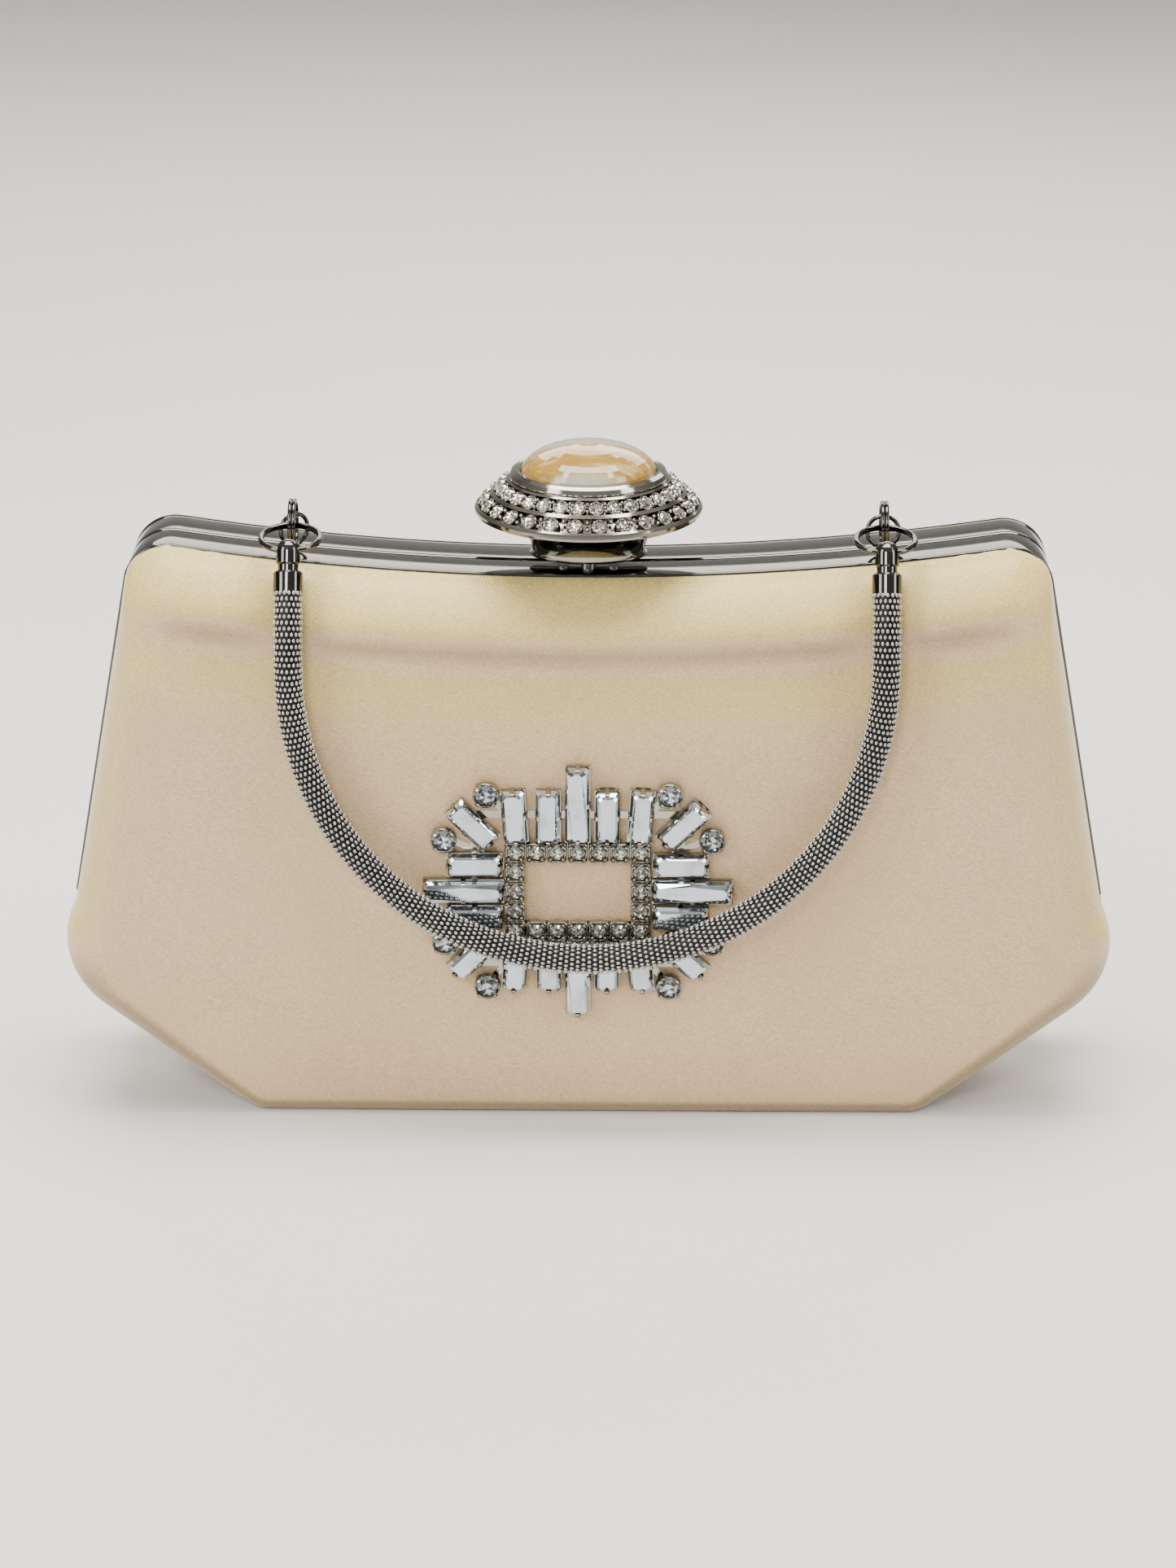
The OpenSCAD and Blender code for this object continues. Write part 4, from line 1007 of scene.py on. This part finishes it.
def bead(around, up):
    """A small ball of radius 1."""
    points = [(0, 0, -1)]
    for r in range(1, up):
        b = math.pi * r / up - math.pi / 2
        points += [(math.cos(b) * math.cos(a), math.cos(b) * math.sin(a), math.sin(b))
                   for a in np.linspace(0, 2 * math.pi, around, endpoint=False)]
    points.append((0, 0, 1))
    top = len(points) - 1
    faces = [(0, 1 + (k + 1) % around, 1 + k) for k in range(around)]
    for r in range(up - 2):
        for k in range(around):
            j = (k + 1) % around
            a, b = 1 + r * around, 1 + (r + 1) * around
            faces.append((a + k, a + j, b + j, b + k))
    last = 1 + (up - 2) * around
    faces += [(last + k, last + (k + 1) % around, top) for k in range(around)]
    return points, faces


def claw():
    """A prong of height 1 that bends over the stone's edge, towards -x."""
    width, thick = 0.42, 0.17
    path = [(0.0, 0.0), (0.0, 0.62), (-0.05, 0.84), (-0.22, 0.98), (-0.5, 1.03), (-0.62, 0.98)]
    points = []
    for k, (x, z) in enumerate(path):
        w = width * (1.0 if k < 3 else 0.92 - 0.12 * (k - 3))
        nx, nz = (thick, 0) if k < 2 else (thick * 0.7, thick * 0.8) if k < 4 else (0, thick)
        points += [(x, -w, z), (x + nx, -w * 0.8, z + nz), (x + nx, w * 0.8, z + nz), (x, w, z)]
    return points, grid_faces(len(path), 4, closed_cols=True) + end_faces(len(path), 4)


# ---------------------------------------------------------------- brooch


class BAG_OT_brooch(bpy.types.Operator):
    """Sets the brooch's stones into their cups and bends the prongs over them"""

    bl_idname = "bag.brooch"
    bl_label = "Stone brooch"

    outwards = Vector((0, -1, 0))
    random = np.random.default_rng(7)

    def execute(self, context):
        for node in ("brooch_plate", "brooch_cups"):
            keep_cad(node, "setting_metal")
        for node in ("brooch_studs", "brooch_washers"):
            keep_cad(node, "latch_steel")
        claws, grains = [], []
        for node, taper in (("baguettes_long", 0.55), ("baguettes_short", 0.0)):
            self.baguettes(node, taper, claws)
        self.rounds("brooch_rounds", 2.4, 2.9, claws, grains)
        self.rounds("brooch_chatons", 1.78, 2.3, claws, grains)
        points, faces = scatter(claw(), claws)
        self.put("brooch_claws", points, faces, "setting_metal", ["brooch_prongs"], smooth=True)
        points, faces = scatter(bead(8, 6), grains)
        self.put("brooch_grains", points, faces, "setting_metal", [], smooth=True)
        return {"FINISHED"}

    def put(self, name, points, faces, finish, replaced, smooth=False):
        """One piece of the brooch, on the front half."""
        piece = facing_out(new_piece(name, points, faces, [finish_of(finish)], smooth=smooth, sharp_deg=50))
        settle_on(piece, FRONT, "crystal" if finish == "smoked" else finish, *replaced)

    def baguettes(self, node, taper, claws):
        """Step cut stones along the CAD solids, with a prong at each end and at each side."""
        points, faces = [], []
        for solid in solids_of(node):
            flat = solid[:, [0, 2]] - solid[:, [0, 2]].mean(0)
            direction = np.linalg.eigh(flat.T @ flat)[1][:, 1]
            along = Vector((direction[0], 0, direction[1]))
            across = Vector((-direction[1], 0, direction[0]))
            centre = foot_of(solid)
            length = np.ptp(solid @ np.array(along))
            width = np.ptp(solid @ np.array(across))
            height = np.ptp(solid[:, 1]) + 0.15
            p, f = step_cut(length + 0.62, width + 0.62, height, taper)
            tip = self.outwards + along * self.random.uniform(-0.07, 0.07) + across * self.random.uniform(-0.09, 0.09)
            p, f = scatter((p, f), [placement(centre, along, tip)])
            faces += shifted(f, len(points))
            points += list(p)
            foot = centre - self.outwards * 0.5
            for direction_out, reach in ((along, length / 2 + 0.35), (-along, length / 2 + 0.35),
                                         (across, width / 2 + 0.28), (-across, width / 2 + 0.28)):
                end = reach > width
                tall = height + 0.62 if end else height * 0.62 + 0.75
                claws.append(placement(foot + direction_out * reach, direction_out, self.outwards,
                                       (1.35, 1.35, tall)))
        self.put(node + "_cut", points, faces, "crystal", [node])

    def rounds(self, node, r, h, claws, grains):
        """Brilliants with four prongs each."""
        places = []
        for solid in solids_of(node):
            centre = foot_of(solid)
            places.append(placement(centre + self.outwards * 0.5, (1, 0, 0), self.outwards))
            for k in range(4):
                a = math.pi / 4 + math.pi / 2 * k
                radial = Vector((math.cos(a), 0, math.sin(a)))
                if r > 2:
                    claws.append(placement(centre + radial * (r + 0.3), radial, self.outwards, (1.1, 1.1, h * 0.82)))
                else:
                    grains.append(placement(centre + radial * (r + 0.12) + self.outwards * h * 0.62, radial,
                                            self.outwards, (0.36, 0.36, 0.62)))
        points, faces = scatter(brilliant(r, h), places)
        self.put(node + "_cut", points, faces, "crystal" if r > 2 else "smoked", [node])
        points, faces = scatter(collar(24, r + 0.32, 0.3, 1.25 + 0.1 * r, square=r < 2),
                                [p @ Matrix.Translation((0, 0, -0.35)) for p in places])
        self.put(node + "_collars", points, faces, "setting_metal", [], smooth=True)


# ---------------------------------------------------------------- handle


class BAG_OT_handle(bpy.types.Operator):
    """Knits the snake tube's beaded mesh and polishes its caps and rings"""

    bl_idname = "bag.handle"
    bl_label = "Snake tube handle"

    # The tube's route as [height above its lowest point, distance in front of the face], in millimetres
    hang = [(77, -0.8), (72, 1.1), (67, 2.7), (62, 3.7), (54, 4.5), (42, 5.8), (27, 7.5), (12, 8.4), (0, 8.5)]

    def execute(self, context):
        for side in ("left", "right"):
            for node in ("strap_loop_", "split_ring_", "jump_ring_", "end_cap_"):
                keep_cad(node + side, "polished_metal")
        self.tube(context.scene.bag_metal)
        return {"FINISHED"}

    def route(self, spacing):
        """Points along the tube, evenly spaced."""
        low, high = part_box("handle_tube")
        tube_r = 3.0
        x = high.x / MM - tube_r
        bottom = low.z / MM + tube_r
        top = bottom + self.hang[0][0]
        heights, fronts = zip(*reversed(self.hang))
        centre_z = bottom + x
        dense = [(-x, z) for z in np.linspace(top, centre_z, 40, endpoint=False)]
        dense += [(-x * math.cos(a), centre_z - x * math.sin(a)) for a in np.linspace(0, math.pi, 400)]
        dense += [(x, z) for z in np.linspace(centre_z, top, 41)[1:]]
        path = np.array([(px, -HALF_DEPTH - np.interp(z - bottom, heights, fronts), z) for px, z in dense])
        for _ in range(12):
            path[1:-1] = (path[:-2] + 2 * path[1:-1] + path[2:]) / 4
        run = np.concatenate([[0], np.cumsum(np.linalg.norm(np.diff(path, axis=0), axis=1))])
        count = int(round(run[-1] / spacing))
        at = np.linspace(0, run[-1], count + 1)
        return np.stack([np.interp(at, run, path[:, k]) for k in range(3)], 1)

    def tube(self, metal):
        """A near-black core, painted shade in the gaps, with rows of beads, each row turned by half a bead."""
        pitch = 1.2
        path = self.route(pitch)
        n = len(path)
        tangent = np.gradient(path, axis=0)
        tangent /= np.linalg.norm(tangent, axis=1)[:, None]
        side = np.cross(tangent, [0, -1, 0])
        side /= np.linalg.norm(side, axis=1)[:, None]
        other = np.cross(side, tangent)
        core_r, bead_r = 2.55, metal.mesh_bead
        row_r, odd_row_r = 2.72, 2.84
        bead_size = (bead_r * 1.2, bead_r * 0.94, bead_r * 0.95)
        round_n, core_n = metal.beads_round, 24
        points = []
        for k in range(n):
            for a in np.linspace(0, 2 * math.pi, core_n, endpoint=False):
                points.append(path[k] + core_r * (side[k] * math.cos(a) + other[k] * math.sin(a)))
        faces = grid_faces(n, core_n, closed_cols=True) + end_faces(n, core_n)
        core_faces = len(faces)
        beads = []
        for k in range(n - 1):
            row = (path[k] + path[k + 1]) / 2
            high = odd_row_r if k % 2 else row_r
            for j in range(round_n):
                a = 2 * math.pi * (j + (k % 2) / 2) / round_n
                out = side[k] * math.cos(a) + other[k] * math.sin(a)
                beads.append(placement(row + out * high, tangent[k], out, bead_size))
        bead_points, bead_faces = scatter(bead(8, 6), beads)
        faces += shifted(bead_faces, len(points))
        points = np.concatenate([np.array(points), bead_points])
        # The second finish, on the core, is near black: painted shade between the beads.
        finishes = [finish_of("snake_mesh"), finish_of("painted_shade_core")]
        piece = new_piece("snake_tube", points, faces, finishes, sharp_deg=80)
        facing_out(piece)
        for p in piece.data.polygons[:core_faces]:
            p.material_index = 1
        settle_on(piece, HANDLE, "snake_mesh", "handle_tube")


class BAG_OT_latch(bpy.types.Operator):
    """Gives the hinge rivets and the latch under the knob their pressed steel"""

    bl_idname = "bag.latch"
    bl_label = "Hinge and latch"

    def execute(self, context):
        for node in ("hinge_rivet_left", "hinge_rivet_right", "knob_rod", "latch_hook", "hook_nut", "latch_cage",
                     "cage_rivets", "catch_plate", "catch_rivets", "latch_spring"):
            keep_cad(node, "latch_steel")
        return {"FINISHED"}


# ---------------------------------------------------------------- stage


class BAG_OT_stage(bpy.types.Operator):
    """Lays a pale floor and sets soft studio light and the camera"""

    bl_idname = "bag.stage"
    bl_label = "Stage"

    def execute(self, context):
        scene = context.scene
        self.floor()
        self.world(scene)
        self.lights()
        self.camera(scene)
        return {"FINISHED"}

    def floor(self):
        """A plain sweep: a floor that turns up into a wall far behind."""
        back, radius = 1600, 500
        profile = [(-2500, 0), (back, 0)]
        profile += [(back + radius * math.sin(a), radius * (1 - math.cos(a)))
                    for a in np.linspace(0.1, math.pi / 2, 14)]
        profile.append((back + radius, 2600))
        points = [(x, y, z) for y, z in profile for x in (-3000, 3000)]
        n = Nodes("pale_floor")
        n.set(Specular_IOR_Level=0.25)
        n.colour(n.ramp(n.noise(n.place(), 3, 3), [(0.3, (0.74, 0.735, 0.74)), (0.7, (0.77, 0.765, 0.77))]))
        n.rough(n.range(n.noise(n.place(), 30, 3), 0.45, 0.6))
        new_piece("floor_sweep", points, [f[::-1] for f in grid_faces(len(profile), 2)], [n.material])

    def world(self, scene):
        """A room that is bright above and dim round the horizon."""
        world = bpy.data.worlds.new("soft_room")
        world.use_nodes = True
        tree = world.node_tree
        coords = tree.nodes.new("ShaderNodeTexCoord")
        split = tree.nodes.new("ShaderNodeSeparateXYZ")
        ramp = tree.nodes.new("ShaderNodeValToRGB")
        stops = [(0.0, (0.10, 0.10, 0.10, 1)), (0.12, (0.16, 0.155, 0.15, 1)), (0.4, (0.55, 0.53, 0.50, 1)),
                 (0.75, (1.0, 0.97, 0.90, 1))]
        while len(ramp.color_ramp.elements) < len(stops):
            ramp.color_ramp.elements.new(0.5)
        for element, (at, colour) in zip(ramp.color_ramp.elements, stops):
            element.position, element.color = at, colour
        tree.links.new(coords.outputs["Generated"], split.inputs[0])
        tree.links.new(split.outputs["Z"], ramp.inputs["Fac"])
        tree.links.new(ramp.outputs["Color"], tree.nodes["Background"].inputs["Color"])
        tree.nodes["Background"].inputs["Strength"].default_value = 0.6
        scene.world = world

    def lights(self):
        """Soft boxes: a broad one above, one at each side, one behind and a small one in front."""
        for name, place, size, power, colour in (
            ("top_box", (0.0, 0.10, 1.0), (0.9, 0.45), 20.0, (1.0, 0.96, 0.86)),
            ("left_box", (-0.85, -0.55, 0.55), (0.35, 0.8), 8.0, (1.0, 0.97, 0.93)),
            ("right_box", (0.95, -0.40, 0.6), (0.3, 0.8), 6.0, (1.0, 0.96, 0.9)),
            ("back_box", (0.1, 0.95, 0.7), (1.2, 0.4), 9.0, (1.0, 0.93, 0.82)),
            ("front_box", (-0.25, -1.1, 0.75), (0.35, 0.35), 7.0, (1.0, 0.97, 0.95)),
        ):
            data = bpy.data.lights.new(name, "AREA")
            data.shape, data.size, data.size_y = "RECTANGLE", size[0], size[1]
            data.energy, data.color = power, colour
            light = bpy.data.objects.new(name, data)
            light.location = place
            light.rotation_euler = (Vector((0, 0, 0.06)) - Vector(place)).to_track_quat("-Z", "Y").to_euler()
            bpy.context.scene.collection.objects.link(light)

    def camera(self, scene):
        """The camera stands in front of the bag, a little above it."""
        s = scene.bag_stage
        data = bpy.data.cameras.new("camera")
        data.lens, data.sensor_width = s.lens, 36
        a, e = math.radians(s.azimuth), math.radians(s.elevation)
        out = Vector((math.sin(a) * math.cos(e), -math.cos(a) * math.cos(e), math.sin(e)))
        camera = bpy.data.objects.new("camera", data)
        camera.location = Vector((0, s.aim_y, s.aim_z)) + out * s.distance
        camera.rotation_euler = (-out).to_track_quat("-Z", "Y").to_euler()
        scene.collection.objects.link(camera)
        scene.camera = camera


# ---------------------------------------------------------------- panel and registration

OPERATORS = (BAG_OT_stage, BAG_OT_satin, BAG_OT_lining, BAG_OT_gussets, BAG_OT_frame, BAG_OT_knob, BAG_OT_brooch,
             BAG_OT_handle, BAG_OT_latch)
GROUPS = {"bag_body": BagBody, "bag_metal": BagMetal, "bag_stones": BagStones, "bag_stage": BagStage}


class BAG_PT_panel(bpy.types.Panel):
    """Lists the bag's sizes, colours and pieces"""

    bl_idname = "BAG_PT_panel"
    bl_label = "Evening bag"
    bl_space_type = "VIEW_3D"
    bl_region_type = "UI"
    bl_category = "Evening bag"

    def draw(self, context):
        for group in GROUPS:
            settings = getattr(context.scene, group)
            box = self.layout.box()
            for name in settings.__annotations__:
                box.prop(settings, name)
        for operator in OPERATORS:
            self.layout.operator(operator.bl_idname)


def register():
    """Registers the classes and hangs the settings on the scene."""
    for group in GROUPS.values():
        bpy.utils.register_class(group)
    for operator in OPERATORS:
        bpy.utils.register_class(operator)
    bpy.utils.register_class(BAG_PT_panel)
    for name, group in GROUPS.items():
        setattr(bpy.types.Scene, name, bpy.props.PointerProperty(type=group))


def unregister():
    """Takes back all that register() did."""
    for name in GROUPS:
        delattr(bpy.types.Scene, name)
    bpy.utils.unregister_class(BAG_PT_panel)
    for group in (*OPERATORS, *GROUPS.values()):
        bpy.utils.unregister_class(group)


def main():
    """Builds the whole bag."""
    register()
    for operator in OPERATORS:
        _, name = operator.bl_idname.split(".")
        getattr(bpy.ops.bag, name)()
    bpy.context.view_layer.update()


if __name__ == "__main__":
    main()
